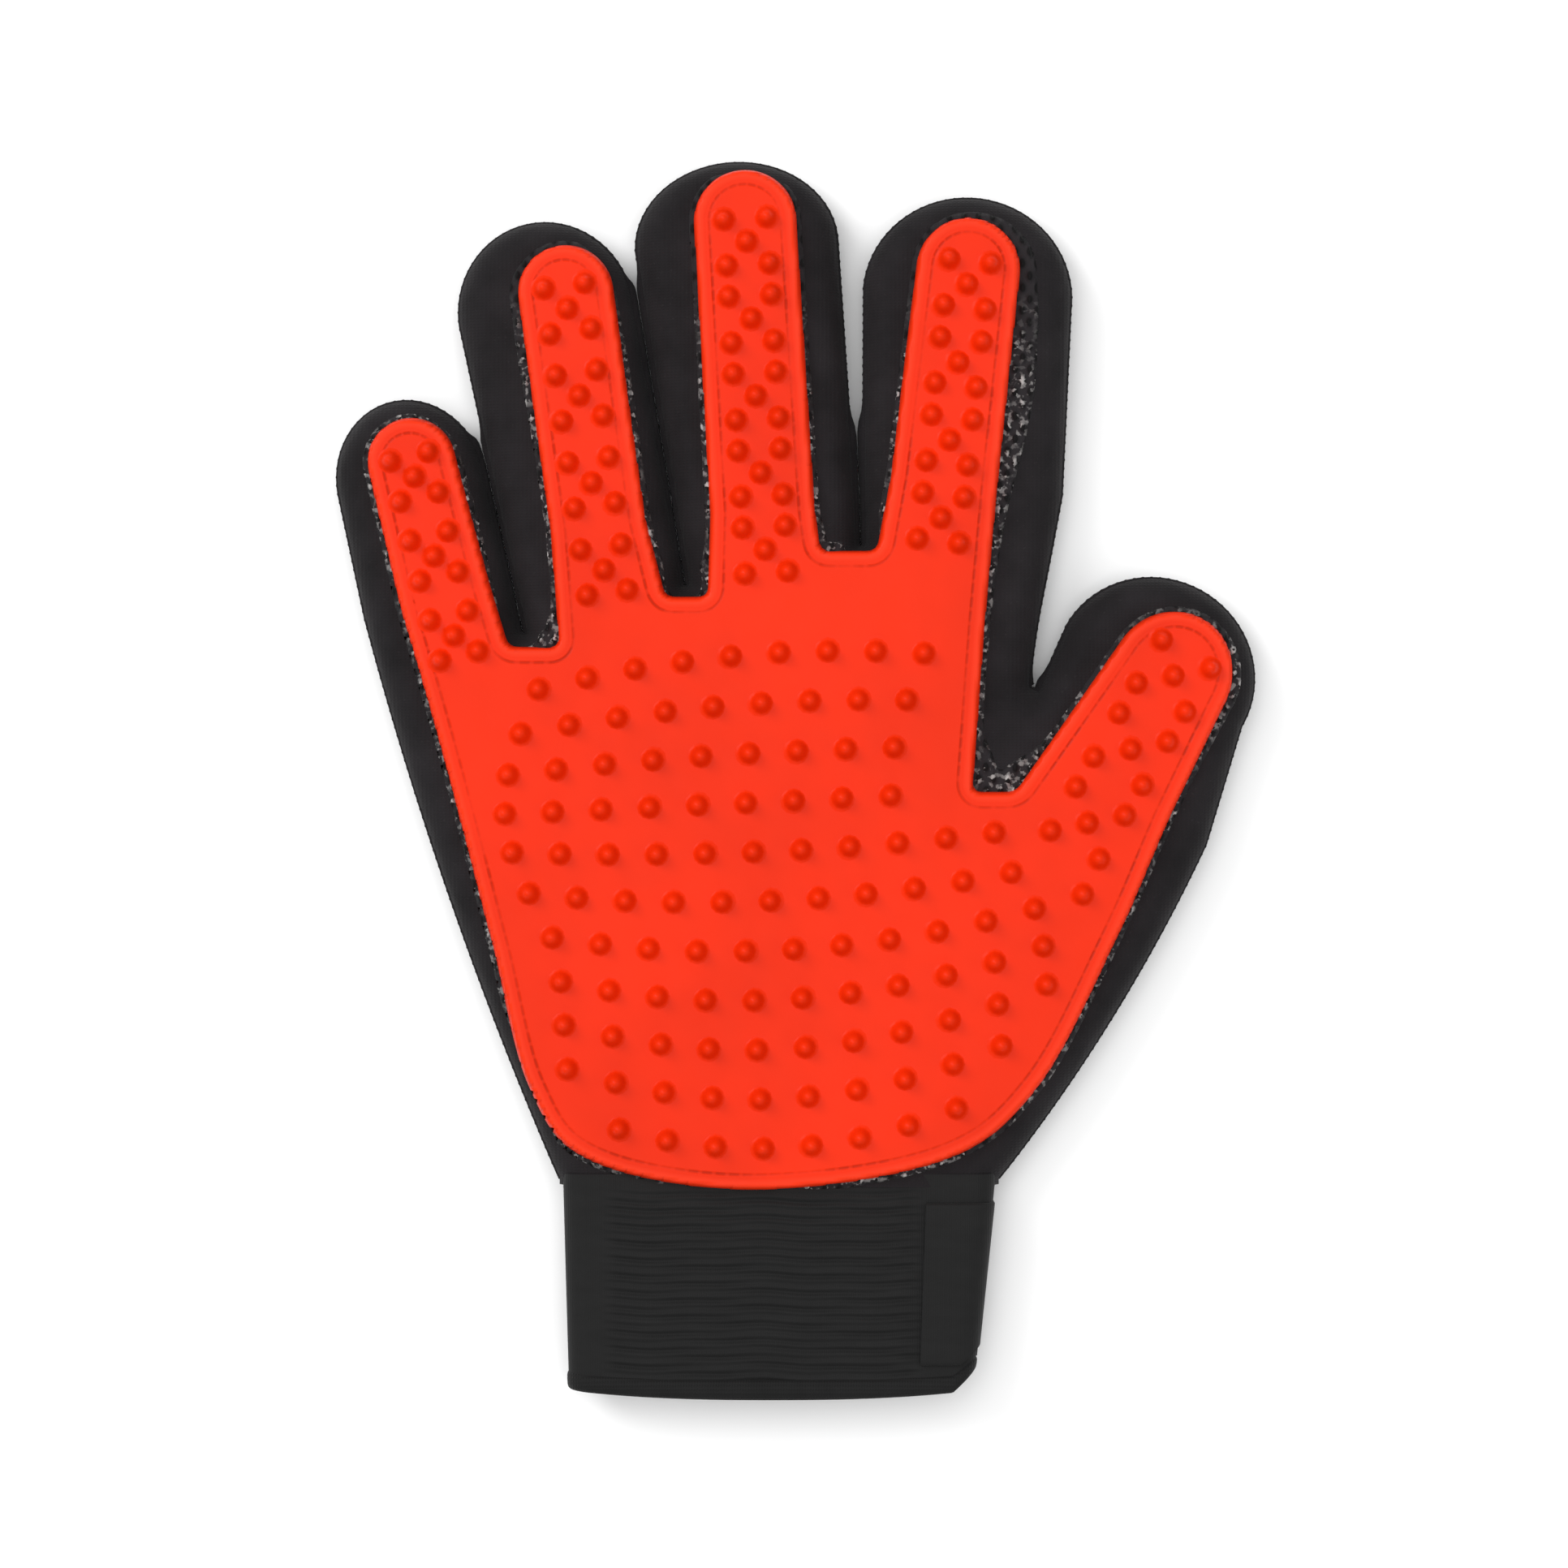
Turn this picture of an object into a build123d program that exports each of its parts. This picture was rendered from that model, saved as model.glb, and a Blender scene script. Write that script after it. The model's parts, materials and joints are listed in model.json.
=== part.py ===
from build123d import *
from collections import namedtuple
from math import cos, pi, radians, sin
import os

# Five-finger pet grooming glove for the right hand, lying palm up on its back panel.
# +X points to the thumb's side, +Y to the fingertips and +Z out of the palm.
# The origin is under the middle of the glove, on the surface that it lies on.
# All sizes are in millimetres and all angles in degrees.

# Layers of the hand, from the surface that the glove lies on upwards
BACK_THICK = 2.0
CAVITY_DEPTH = 9.0
PALM_THICK = 1.6
PAD_THICK = 2.2
WALL = 1.5
CAVITY_Z = BACK_THICK
PALM_Z = CAVITY_Z + CAVITY_DEPTH
PAD_Z = PALM_Z + PALM_THICK
FLEX_Z = PAD_Z + PAD_THICK
PALM_MARGIN = 0.4

# Moulded nubs of the pad
NUB_RADIUS = 1.9
NUB_TOP_RADIUS = 0.9
NUB_HEIGHT = 3.1
NUB_SINK = 0.2

# Nubs of the palm, in rows from the knuckles to the wrist. The first column drifts sideways
# from row to row. The top and bottom rows follow curves given by height, slope and bend.
NUB_PITCH = 8.9
NUB_ROWS = 11
NUB_COLUMNS = 14
NUB_START_X = -47.5
NUB_DRIFT = 6.0
NUB_BOW = 8.0
NUB_BOW_SHARE = 1.6
NUB_TOP_ROW = (23.5, 0.04, -0.0022)
NUB_BOTTOM_ROW = (-67.93, 0.077, 0.0055)
NUB_EDGE = 7.4
NUB_APART = 0.8 * NUB_PITCH

# Cuts between the segments of a digit, and the lengths that shapes run past a cut
CUT = 0.3
TAIL = 14.0
OVERRUN = 1.0
REACH = 200.0

# Each digit is drawn in its own frame: its origin is the root knuckle and its +Y runs along
# the digit, leaned from the glove's +Y towards the thumb. Hinge lines lie across the digit, and
# `middle` is the distance from the root knuckle to the second one. Reaches to the left and
# right are given at the tail, at the knuckle and at the shoulder of the tip.
Digit = namedtuple(
    "Digit",
    "name root lean middle tip cap left right pad_tip pad_cap pad_left pad_right "
    "nub_groups nub_first nub_pitch nub_pair nub_length nub_shift",
)
DIGITS = [
    Digit("little", (-64.9, 33.9), -14.1, 15.05, 37.8, 15.5, (15.2, 15.9, 15.1), (11.8, 11.8, 12.3),
          33.8, 8.2, (8.6, 8.6, 8.2), (8.6, 8.6, 8.2), 3, -7.6, 15.1, 7.2, 7.7, 0),
    Digit("ring", (-36.5, 46.75), -8.0, 32.4, 58.0, 17.0, (16.0, 17.6, 20.6), (13.9, 13.4, 12.0),
          52.6, 8.9, (9.1, 9.0, 8.9), (9.1, 9.0, 8.9), 4, -8.1, 16.2, 7.6, 8.5, 0),
    Digit("middle", (-6.1, 49.45), -3.4, 28.5, 65.7, 15.5, (14.2, 15.8, 20.7), (17.5, 17.4, 17.0),
          63.5, 9.6, (10.0, 9.8, 9.6), (10.0, 9.8, 9.6), 5, -7.1, 14.25, 7.9, 8.5, 0),
    Digit("index", (27.6, 55.4), 6.5, 29.0, 53.2, 18.5, (12.6, 15.0, 18.8), (21.4, 22.3, 20.0),
          48.9, 9.7, (10.2, 10.0, 9.7), (10.2, 10.0, 9.7), 4, -7.25, 14.5, 7.7, 8.5, 0),
    Digit("thumb", (57.1, -0.8), 30.3, 15.75, 40.4, 18.0, (16.0, 17.9, 20.4), (23.4, 22.6, 17.2),
          35.7, 12.0, (13.6, 12.6, 10.6), (15.0, 13.9, 12.0), 3, -7.9, 15.75, 10.4, 9.3, 0.9),
]
THUMB = DIGITS[-1]

# Outline of the hand's cloth below the knuckles: an arc up the little finger's side, the middle
# of each slot between two fingers, the index finger's side and an arc up the thumb's side
FINGER_GAP = 1.5
WRIST_Y = -74.5
HAND_LEFT = [(-44.0, WRIST_Y), (-65.0, -20.4)]
HAND_CROTCHES = [(-50.8, 27.0), (-20.6, 36.0), (12.2, 43.5)]
HAND_INDEX = [(47.8, 42.3), (45.1, 28.7), (43.3, 17.0)]
HAND_RIGHT = [(38.0, WRIST_Y), (62.3, -39.2)]

# Outline of the silicone pad below the knuckles: its round lower side and its crotches
PAD_SIDE = [
    (-65.8, 6.0), (-56.3, -30.2), (-49.2, -57.3), (-37.6, -70.9),
    (-8.0, -76.1), (26.9, -70.9), (44.8, -57.3), (59.3, -30.2),
]
PAD_CROTCHES = [
    [(-53.1, 24.5), (-43.8, 24.5)],
    [(-24.1, 33.8), (-16.3, 33.8)],
    [(4.8, 42.3), (15.1, 42.3)],
    [(35.2, 28.7), (32.9, -2.3), (40.7, -2.3)],
]

# Elastic cuff, a flat sleeve that narrows towards its open end. It stands a rise above the top
# of the back panel, and its palm side lies a drop below the underside of the pad.
CUFF_TOP_Y = WRIST_Y
CUFF_END_Y = -115.0
CUFF_CENTRE_X = -4.0
CUFF_TOP_WIDTH = 79.6
CUFF_END_WIDTH = 75.2
CUFF_RISE = 1.2
CUFF_DROP = 0.2
CUFF_BOTTOM_Z = BACK_THICK + CUFF_RISE
CUFF_TOP_Z = PAD_Z - CUFF_DROP
CUFF_WALL = 1.5
CUFF_ROUND = 4.0
HEM_WIDTH = 3.5
HEM_EXTRA = 0.5

# Seam tapes that join the cuff to the hand
TAPE_WIDTH = 7.0
TAPE_THICK = 0.8
TAPE_INSET = 4.0

# Wrist strap with its hook and loop patches, folded flat under the back of the cuff
STRAP_THICK = 1.6
STRAP_WIDTH = 30.0
STRAP_LENGTH = 68.0
STRAP_Y = -93.5
STRAP_CORNER = 4.0
HOOK_THICK = 0.6
HOOK_LENGTH = 34.0
HOOK_WIDTH = 24.0
LOOP_THICK = 0.8
LOOP_LENGTH = 52.0
LOOP_WIDTH = 26.0
TAB_LENGTH = 10.0
TAB_THICK = 1.9
STRAP_HINGE_X = 36.0
ANCHOR_THICK = 1.2
ANCHOR_LEAF = 13.0
ANCHOR_CORNER = 3.5
ANCHOR_LIFT = 0.4


def digit_plane(digit):
    """Plane on the digit's root knuckle whose +Y runs along the digit."""
    lean = radians(digit.lean)
    return Plane(origin=(*digit.root, 0), x_dir=(cos(lean), -sin(lean), 0), z_dir=(0, 0, 1))


def digit_outline(digit, left, right, tip, cap, inset=0.0):
    """Two sides that bend at the root knuckle, closed over the tip by half an ellipse."""
    shoulder = tip - cap
    middle = (right[2] - left[2]) / 2
    half = (right[2] + left[2]) / 2 - inset
    with BuildSketch(digit_plane(digit)) as outline:
        with BuildLine():
            Polyline(
                (half + middle, shoulder),
                (right[1] - inset, 0),
                (right[0] - inset, -TAIL),
                (inset - left[0], -TAIL),
                (inset - left[1], 0),
                (middle - half, shoulder),
            )
            EllipticalCenterArc((middle, shoulder), half, cap - inset, arc_size=180)
        make_face()
    return outline.sketch


def cloth_outline(digit, inset=0.0):
    """Outline of a digit's cloth, or the same drawn in by an inset."""
    return digit_outline(digit, digit.left, digit.right, digit.tip, digit.cap, inset)


def pad_outline(digit):
    """Outline of a digit's part of the silicone pad."""
    return digit_outline(digit, digit.pad_left, digit.pad_right, digit.pad_tip, digit.pad_cap)


def strip(digit, low, high):
    """Wide strip across a digit between two hinge lines, measured from its root knuckle."""
    with BuildSketch(digit_plane(digit)) as band:
        with Locations((0, low)):
            Rectangle(2 * REACH, high - low, align=(Align.CENTER, Align.MIN))
    return band.sketch


def segments(digit):
    """Strips that hold the digit's base segment and its tip segment."""
    return {
        "base": strip(digit, CUT / 2, digit.middle - CUT / 2),
        "tip": strip(digit, digit.middle + CUT / 2, REACH),
    }


def hinge_end(digit, across):
    """Place across a digit, left (-) or right (+), just short of its root hinge line."""
    place = digit_plane(digit).from_local_coords(Vector(across, -CUT / 2, 0))
    return (place.X, place.Y)


def hand_outline(inset=0.0):
    """Outline of the hand below the knuckles with the root of each digit."""
    half = FINGER_GAP / 2
    slots = [[(x - half, y), (x + half, y)] for x, y in HAND_CROTCHES] + [HAND_INDEX]
    top = []
    for digit, slot in zip(DIGITS, slots):
        top += [hinge_end(digit, -digit.left[1]), hinge_end(digit, digit.right[1])] + slot
    thumb_left = THUMB.left[1] + FINGER_GAP
    top += [hinge_end(THUMB, -thumb_left), hinge_end(THUMB, THUMB.right[1])]
    with BuildSketch() as hand:
        with BuildLine():
            ThreePointArc(*HAND_LEFT, top[0])
            Polyline(*top)
            ThreePointArc(*HAND_RIGHT, top[-1])
            Line(HAND_RIGHT[0], HAND_LEFT[0])
        make_face()
        if inset:
            offset(amount=-inset)
    return hand.sketch


def hand_cavity():
    """The hollow of the hand, open at the wrist and at each root hinge line."""
    with BuildSketch() as hollow:
        add(hand_outline(WALL))
        with Locations((CUFF_CENTRE_X, WRIST_Y - WALL)):
            Rectangle(CUFF_TOP_WIDTH - 4 * WALL, 3 * WALL, align=(Align.CENTER, Align.MIN))
        for digit in DIGITS:
            add(cloth_outline(digit, WALL + PALM_MARGIN) & strip(digit, -3 * WALL, CUT))
    return hollow.sketch


def pad_hand_outline():
    """Outline of the pad below the knuckles with the root of each digit."""
    top = []
    for digit, crotch in zip(DIGITS, PAD_CROTCHES + [[]]):
        left = hinge_end(digit, -digit.pad_left[1])
        right = hinge_end(digit, digit.pad_right[1])
        top += [left, right] + crotch
    with BuildSketch() as hand:
        with BuildLine():
            Spline(top[0], *PAD_SIDE, top[-1])
            Polyline(*top)
        make_face()
    return hand.sketch


def save(part, name):
    """Label a finished piece and write it."""
    part.label = name
    export_step(part, f"parts/{name}.step")


def plate(outline, name, low, high):
    """Flat piece of an outline between two heights."""
    with BuildPart() as piece:
        with BuildSketch(Plane.XY.offset(low)):
            add(outline)
        extrude(amount=high - low)
    save(piece.part, name)


def digit_nubs(digit):
    """Nubs of a digit in groups of five, two pairs with one between, in glove coordinates."""
    plane = digit_plane(digit)
    places = []
    for group in range(digit.nub_groups):
        centre = digit.nub_first + group * digit.nub_pitch
        spots = [(digit.nub_shift, centre)]
        for side in (-1, 1):
            for end in (-1, 1):
                across = digit.nub_shift + side * digit.nub_pair / 2
                spots.append((across, centre + end * digit.nub_length / 2))
        for spot in spots:
            place = plane.from_local_coords(Vector(*spot, 0))
            places.append((place.X, place.Y))
    return places


def row_height(curve, x):
    """Height of a row of nubs at a place across the palm."""
    height, slope, bend = curve
    return height + slope * x + bend * x * x


def hand_nubs():
    """Nubs of the hand in rows that fan out from the top row to the bottom one."""
    rows = []
    for row in range(NUB_ROWS):
        share = row / (NUB_ROWS - 1)
        bow = NUB_BOW * sin(pi * min(NUB_BOW_SHARE * share, 1))
        start = NUB_START_X + NUB_DRIFT * share - bow
        for column in range(NUB_COLUMNS):
            x = start + column * NUB_PITCH
            top = row_height(NUB_TOP_ROW, x)
            bottom = row_height(NUB_BOTTOM_ROW, x)
            rows.append((x, top + (bottom - top) * share))
    return rows


def inside(point, outline, margin):
    """Whether a point lies in an outline and at least a margin from its edge."""
    spot = Vector(*point, 0)
    if not outline.is_inside(spot):
        return False
    return Vertex(*point, 0).distance_to(outline.wire()) >= margin


def make_nub():
    """One nub, a short cone with a round tip, standing on its base."""
    with BuildPart() as nub:
        with BuildSketch(Plane.XZ):
            with BuildLine():
                shoulder = NUB_HEIGHT - NUB_TOP_RADIUS
                Polyline((0, NUB_HEIGHT), (0, -NUB_SINK), (NUB_RADIUS, -NUB_SINK), (NUB_RADIUS, 0))
                Line((NUB_RADIUS, 0), (NUB_TOP_RADIUS, shoulder))
                ThreePointArc(
                    (NUB_TOP_RADIUS, shoulder),
                    (NUB_TOP_RADIUS * sin(radians(45)), shoulder + NUB_TOP_RADIUS * cos(radians(45))),
                    (0, NUB_HEIGHT),
                )
            make_face()
        revolve(axis=Axis.Z)
    return nub.part


def pad_piece(outline, name, places, nub):
    """Piece of the silicone pad with its nubs moulded on."""
    with BuildPart() as piece:
        with BuildSketch(Plane.XY.offset(PAD_Z)):
            add(outline)
        extrude(amount=PAD_THICK)
        with Locations(*[(x, y, FLEX_Z) for x, y in places]):
            add(nub)
    save(piece.part, name)


def beyond(digit, place):
    """Distance of a place past the digit's root hinge line."""
    return digit_plane(digit).to_local_coords(Vector(*place, 0)).Y


def make_digit(digit, nub):
    """The four layers of a digit's base and tip segments."""
    cloth = cloth_outline(digit)
    wall = cloth - cloth_outline(digit, WALL)
    palm = cloth_outline(digit, PALM_MARGIN)
    places = digit_nubs(digit)
    spans = {"base": (0, digit.middle), "tip": (digit.middle, REACH)}
    for part, region in segments(digit).items():
        low, high = spans[part]
        held = [place for place in places if low < beyond(digit, place) < high]
        plate(cloth & region, f"{digit.name}_{part}_back", 0, BACK_THICK)
        plate(wall & region, f"{digit.name}_{part}_side", CAVITY_Z, PALM_Z)
        plate(palm & region, f"{digit.name}_{part}_mesh", PALM_Z, PAD_Z)
        pad_piece(pad_outline(digit) & region, f"{digit.name}_{part}_pad", held, nub)


def make_hand(nub):
    """The four layers of the hand below the knuckles."""
    cloth = hand_outline()
    pad = pad_hand_outline()
    field = pad.face()
    places = [place for place in hand_nubs() if inside(place, field, NUB_EDGE)]
    for digit in DIGITS:
        roots = [place for place in digit_nubs(digit) if beyond(digit, place) < 0]
        places = [p for p in places if min_distance(p, roots) > NUB_APART]
        places += roots
    plate(cloth, "hand_back", 0, BACK_THICK)
    plate(cloth - hand_cavity(), "hand_side", CAVITY_Z, PALM_Z)
    plate(hand_outline(PALM_MARGIN), "hand_mesh", PALM_Z, PAD_Z)
    pad_piece(pad, "hand_pad", places, nub)


def min_distance(place, others):
    """Distance from a place to the nearest of some others."""
    return min((Vector(*place) - Vector(*other)).length for other in others)


def cuff_width(y):
    """Width of the cuff at a place along it."""
    share = (CUFF_TOP_Y - y) / (CUFF_TOP_Y - CUFF_END_Y)
    return CUFF_TOP_WIDTH + (CUFF_END_WIDTH - CUFF_TOP_WIDTH) * share


def sleeve(first_y, last_y, extra, inset):
    """Solid of the cuff's rounded section between two places, grown or drawn in."""
    with BuildPart() as body:
        for y in (first_y, last_y):
            with BuildSketch(Plane(origin=(CUFF_CENTRE_X, y, 0), x_dir=(1, 0, 0), z_dir=(0, -1, 0))):
                with Locations((0, (CUFF_BOTTOM_Z + CUFF_TOP_Z) / 2)):
                    height = CUFF_TOP_Z - CUFF_BOTTOM_Z + 2 * extra - 2 * inset
                    width = cuff_width(y) + 2 * extra - 2 * inset
                    RectangleRounded(width, height, CUFF_ROUND + extra - inset)
        loft()
    return body.part


def make_cuff():
    """Palm and back halves of the elastic cuff, its hem and the tapes that join it to the hand."""
    hem_y = CUFF_END_Y + HEM_WIDTH
    middle_z = (CUFF_BOTTOM_Z + CUFF_TOP_Z) / 2
    hollow = sleeve(CUFF_TOP_Y + OVERRUN, hem_y - OVERRUN, 0, CUFF_WALL)
    tube = sleeve(CUFF_TOP_Y, hem_y, 0, 0) - hollow
    for name, side in (("cuff_palm_elastic", 1), ("cuff_back_elastic", -1)):
        with BuildPart() as half:
            add(tube)
            with Locations((CUFF_CENTRE_X, (CUFF_TOP_Y + hem_y) / 2, middle_z)):
                keep = (Align.CENTER, Align.CENTER, Align.MIN if side > 0 else Align.MAX)
                Box(2 * CUFF_TOP_WIDTH, 2 * REACH, REACH, align=keep, mode=Mode.INTERSECT)
        save(half.part, name)
    with BuildPart() as hem:
        add(sleeve(hem_y, CUFF_END_Y, HEM_EXTRA, 0))
        add(sleeve(hem_y + OVERRUN, CUFF_END_Y - OVERRUN, 0, CUFF_WALL), mode=Mode.SUBTRACT)
    save(hem.part, "cuff_hem")
    width = CUFF_TOP_WIDTH - 2 * TAPE_INSET
    for name, low, high in (
        ("wrist_seam_palm", CUFF_TOP_Z - CUFF_WALL - TAPE_THICK, CUFF_TOP_Z - CUFF_WALL),
        ("wrist_seam_back", BACK_THICK, CUFF_BOTTOM_Z),
    ):
        with BuildPart() as tape:
            with BuildSketch(Plane.XY.offset(low)):
                with Locations((CUFF_CENTRE_X, WRIST_Y)):
                    Rectangle(width, TAPE_WIDTH)
            extrude(amount=high - low)
        save(tape.part, name)


def strip_piece(name, right_x, length, width, low, thick, corner):
    """Flat strip under the cuff that runs from a right edge towards the little finger's side."""
    with BuildPart() as piece:
        with BuildSketch(Plane.XY.offset(low)) as outline:
            with Locations((right_x, STRAP_Y)):
                Rectangle(length, width, align=(Align.MAX, Align.CENTER))
            if corner:
                fillet(outline.vertices().group_by(Axis.X)[0], corner)
        extrude(amount=thick)
    save(piece.part, name)


def make_strap():
    """Wrist strap with its hook patch and pull tab, the loop patch and the sewn anchor."""
    strap_right = STRAP_HINGE_X - CUT
    tab_x = strap_right - STRAP_LENGTH
    hook_x = tab_x + HOOK_LENGTH
    strip_piece("strap_elastic", strap_right, STRAP_LENGTH, STRAP_WIDTH, 0, STRAP_THICK, 0)
    strip_piece("strap_pull_tab", tab_x, TAB_LENGTH, STRAP_WIDTH, 0, TAB_THICK, STRAP_CORNER)
    strip_piece("strap_hook_patch", hook_x, HOOK_LENGTH, HOOK_WIDTH, STRAP_THICK, HOOK_THICK, 0)
    loop_low = CUFF_BOTTOM_Z - LOOP_THICK
    loop_x = hook_x + (LOOP_LENGTH - HOOK_LENGTH) / 2
    strip_piece("cuff_loop_patch", loop_x, LOOP_LENGTH, LOOP_WIDTH, loop_low, LOOP_THICK, 0)


def make_anchor():
    """Sewn end of the strap: a leaf on the palm side of the cuff that turns down its side."""
    top = CUFF_TOP_Z + ANCHOR_THICK
    right = STRAP_HINGE_X + ANCHOR_THICK
    leaf_x = right - ANCHOR_LEAF
    low = STRAP_THICK + HOOK_THICK + ANCHOR_LIFT
    with BuildPart() as anchor:
        with BuildSketch(Plane.XZ.offset(-STRAP_Y - STRAP_WIDTH / 2)):
            with BuildLine():
                Polyline(
                    (leaf_x, CUFF_TOP_Z), (leaf_x, top), (right - CUFF_ROUND, top)
                )
                RadiusArc((right - CUFF_ROUND, top), (right, top - CUFF_ROUND), CUFF_ROUND)
                Polyline((right, top - CUFF_ROUND), (right, low), (right - ANCHOR_THICK, low))
                Line((right - ANCHOR_THICK, low), (right - ANCHOR_THICK, top - CUFF_ROUND))
                RadiusArc(
                    (right - ANCHOR_THICK, top - CUFF_ROUND),
                    (right - CUFF_ROUND, CUFF_TOP_Z),
                    ANCHOR_THICK - CUFF_ROUND,
                )
                Line((right - CUFF_ROUND, CUFF_TOP_Z), (leaf_x, CUFF_TOP_Z))
            make_face()
        extrude(amount=STRAP_WIDTH)
        low_y = STRAP_Y - STRAP_WIDTH / 2
        with BuildSketch(Plane.XY):
            with BuildLine():
                Polyline(
                    (right + OVERRUN, low_y - OVERRUN), (right - ANCHOR_CORNER, low_y - OVERRUN),
                    (right + OVERRUN, low_y + ANCHOR_CORNER), close=True
                )
            make_face()
        extrude(amount=REACH, mode=Mode.SUBTRACT)
    save(anchor.part, "strap_anchor")


os.makedirs("parts", exist_ok=True)
single_nub = make_nub()
make_hand(single_nub)
for each in DIGITS:
    make_digit(each, single_nub)
make_cuff()
make_strap()
make_anchor()
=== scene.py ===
"""Surfaces, finishes and stage of a five-finger pet grooming glove, laid out as an add-on.

All shapes are worked out in millimetres and go into the meshes in metres. +X points to the
thumb's side, +Y to the fingertips and +Z out of the palm.
"""

import json
from collections import namedtuple
from math import cos, pi, radians, sin

import bmesh
import bpy
import numpy as np
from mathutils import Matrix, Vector


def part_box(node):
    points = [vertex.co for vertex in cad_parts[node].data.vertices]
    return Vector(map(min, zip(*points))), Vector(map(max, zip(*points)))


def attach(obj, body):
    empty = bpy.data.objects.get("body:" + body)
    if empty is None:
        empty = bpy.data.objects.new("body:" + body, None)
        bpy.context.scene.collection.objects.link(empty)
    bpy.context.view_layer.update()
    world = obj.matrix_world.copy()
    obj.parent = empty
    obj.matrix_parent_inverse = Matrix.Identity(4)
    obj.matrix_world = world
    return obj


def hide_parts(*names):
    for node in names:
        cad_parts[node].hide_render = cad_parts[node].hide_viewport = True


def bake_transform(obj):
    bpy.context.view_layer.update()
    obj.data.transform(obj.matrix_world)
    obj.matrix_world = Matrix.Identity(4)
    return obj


bl_info = {
    "name": "Grooming glove",
    "version": (1, 0, 0),
    "blender": (4, 5, 0),
    "location": "View3D > Sidebar > Glove",
    "description": "Builds the cloth, silicone pad, cuff and strap of a grooming glove",
    "category": "Object",
}

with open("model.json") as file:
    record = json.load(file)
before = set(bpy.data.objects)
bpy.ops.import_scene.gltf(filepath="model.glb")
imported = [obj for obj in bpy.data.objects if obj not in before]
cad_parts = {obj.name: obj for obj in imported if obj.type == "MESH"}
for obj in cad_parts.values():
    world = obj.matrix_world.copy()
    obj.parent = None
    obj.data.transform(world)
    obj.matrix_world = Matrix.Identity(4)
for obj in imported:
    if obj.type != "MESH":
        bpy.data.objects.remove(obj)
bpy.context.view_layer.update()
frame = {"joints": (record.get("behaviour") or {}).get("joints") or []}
JOINTS = {joint["name"]: joint for joint in frame["joints"]}
MM = 1000.0


def node_box(name):
    """Lowest and highest corner of a node, in millimetres."""
    low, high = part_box(name)
    return np.array(low) * MM, np.array(high) * MM


# Reaches of each digit's cloth and pad to its left and right, at the root knuckle and at the
# shoulder of its tip, the length of the tip and the height of its round end. `blend` holds the
# span of each knuckle's bend along the digit, and `skew` turns those spans across it. The last
# entries lay out its nubs: groups, first group, pitch, width and length of a group, and shift.
Digit = namedtuple("Digit", "name left right tip cap pad_left pad_right pad_tip pad_cap blend skew nubs")
DIGITS = [
    Digit("little", (15.9, 15.1), (11.8, 12.3), 37.8, 15.5, (8.6, 8.2), (8.6, 8.2), 33.8, 8.2,
          (-8, 7, 8, 22), 0, (3, -7.6, 15.1, 7.2, 7.7, 0)),
    Digit("ring", (17.6, 20.6), (13.4, 12.0), 58.0, 17.0, (9.0, 8.9), (9.0, 8.9), 52.6, 8.9,
          (-9, 9, 23, 42), 0, (4, -8.1, 16.2, 7.6, 8.5, 0)),
    Digit("middle", (15.8, 20.7), (17.4, 17.0), 65.7, 15.5, (9.8, 9.6), (9.8, 9.6), 63.5, 9.6,
          (-6.5, 7.5, 19, 38), 0, (5, -7.1, 14.25, 7.9, 8.5, 0)),
    Digit("index", (15.0, 18.8), (22.3, 20.0), 53.2, 18.5, (10.0, 9.7), (10.0, 9.7), 48.9, 9.7,
          (-9, 9, 20, 38), 0, (4, -7.25, 14.5, 7.7, 8.5, 0)),
    Digit("thumb", (17.9, 20.4), (22.6, 17.2), 40.4, 18.0, (12.6, 10.6), (13.9, 12.0), 35.7, 12.0,
          (0, 11, 11, 23), 20, (3, -7.9, 15.75, 10.4, 9.3, 0.9)),
]

# Corners of the cloth and the pad below the knuckles. The cloth runs on under the cuff.
FINGER_GAP = 1.5
CROTCH_CORNER, INDEX_SIDE_CORNER = 0.7, 6.0
CROTCHES = [(-50.8, 27.0), (-20.6, 36.0), (12.2, 43.5)]
INDEX_SIDE = [(47.8, 42.3), (45.1, 28.7), (43.6, 17.2)]
THUMB_START = 9.0
LEFT_SIDE = [(-44.0, -74.5), (-65.0, -20.4)]
RIGHT_SIDE = [(38.0, -74.5), (62.3, -39.2)]
PAD_SIDE = [
    (-65.8, 6.0), (-56.3, -30.2), (-49.2, -57.3), (-37.6, -70.9),
    (-8.0, -76.1), (26.9, -70.9), (44.8, -57.3), (59.3, -30.2),
]
PAD_CROTCHES = [
    [(-53.1, 24.5), (-43.8, 24.5)],
    [(-24.1, 33.8), (-16.3, 33.8)],
    [(4.8, 42.3), (15.1, 42.3)],
    [(35.2, 28.7), (32.9, -2.3), (40.7, -2.3)],
]
PAD_CORNER = 1.8
CLOTH_END_Y = -90.0
PANEL_INSET = 2.6

# The air mesh's margin round the pad, and where it is wider: by how much, where, and over what
# width and height
MESH_MARGIN = 0.9
MESH_SWELLS = [
    (4.0, (44, 74), 9, 27), (3.4, (38, 1), 7, 6), (2.4, (-48.5, 26), 5, 4), (2.6, (-20.2, 35.5), 5, 4),
    (0.9, (10, 44), 6, 4), (1.2, (-55, 75), 5, 22), (1.0, (86, 10), 8, 18),
]

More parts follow.
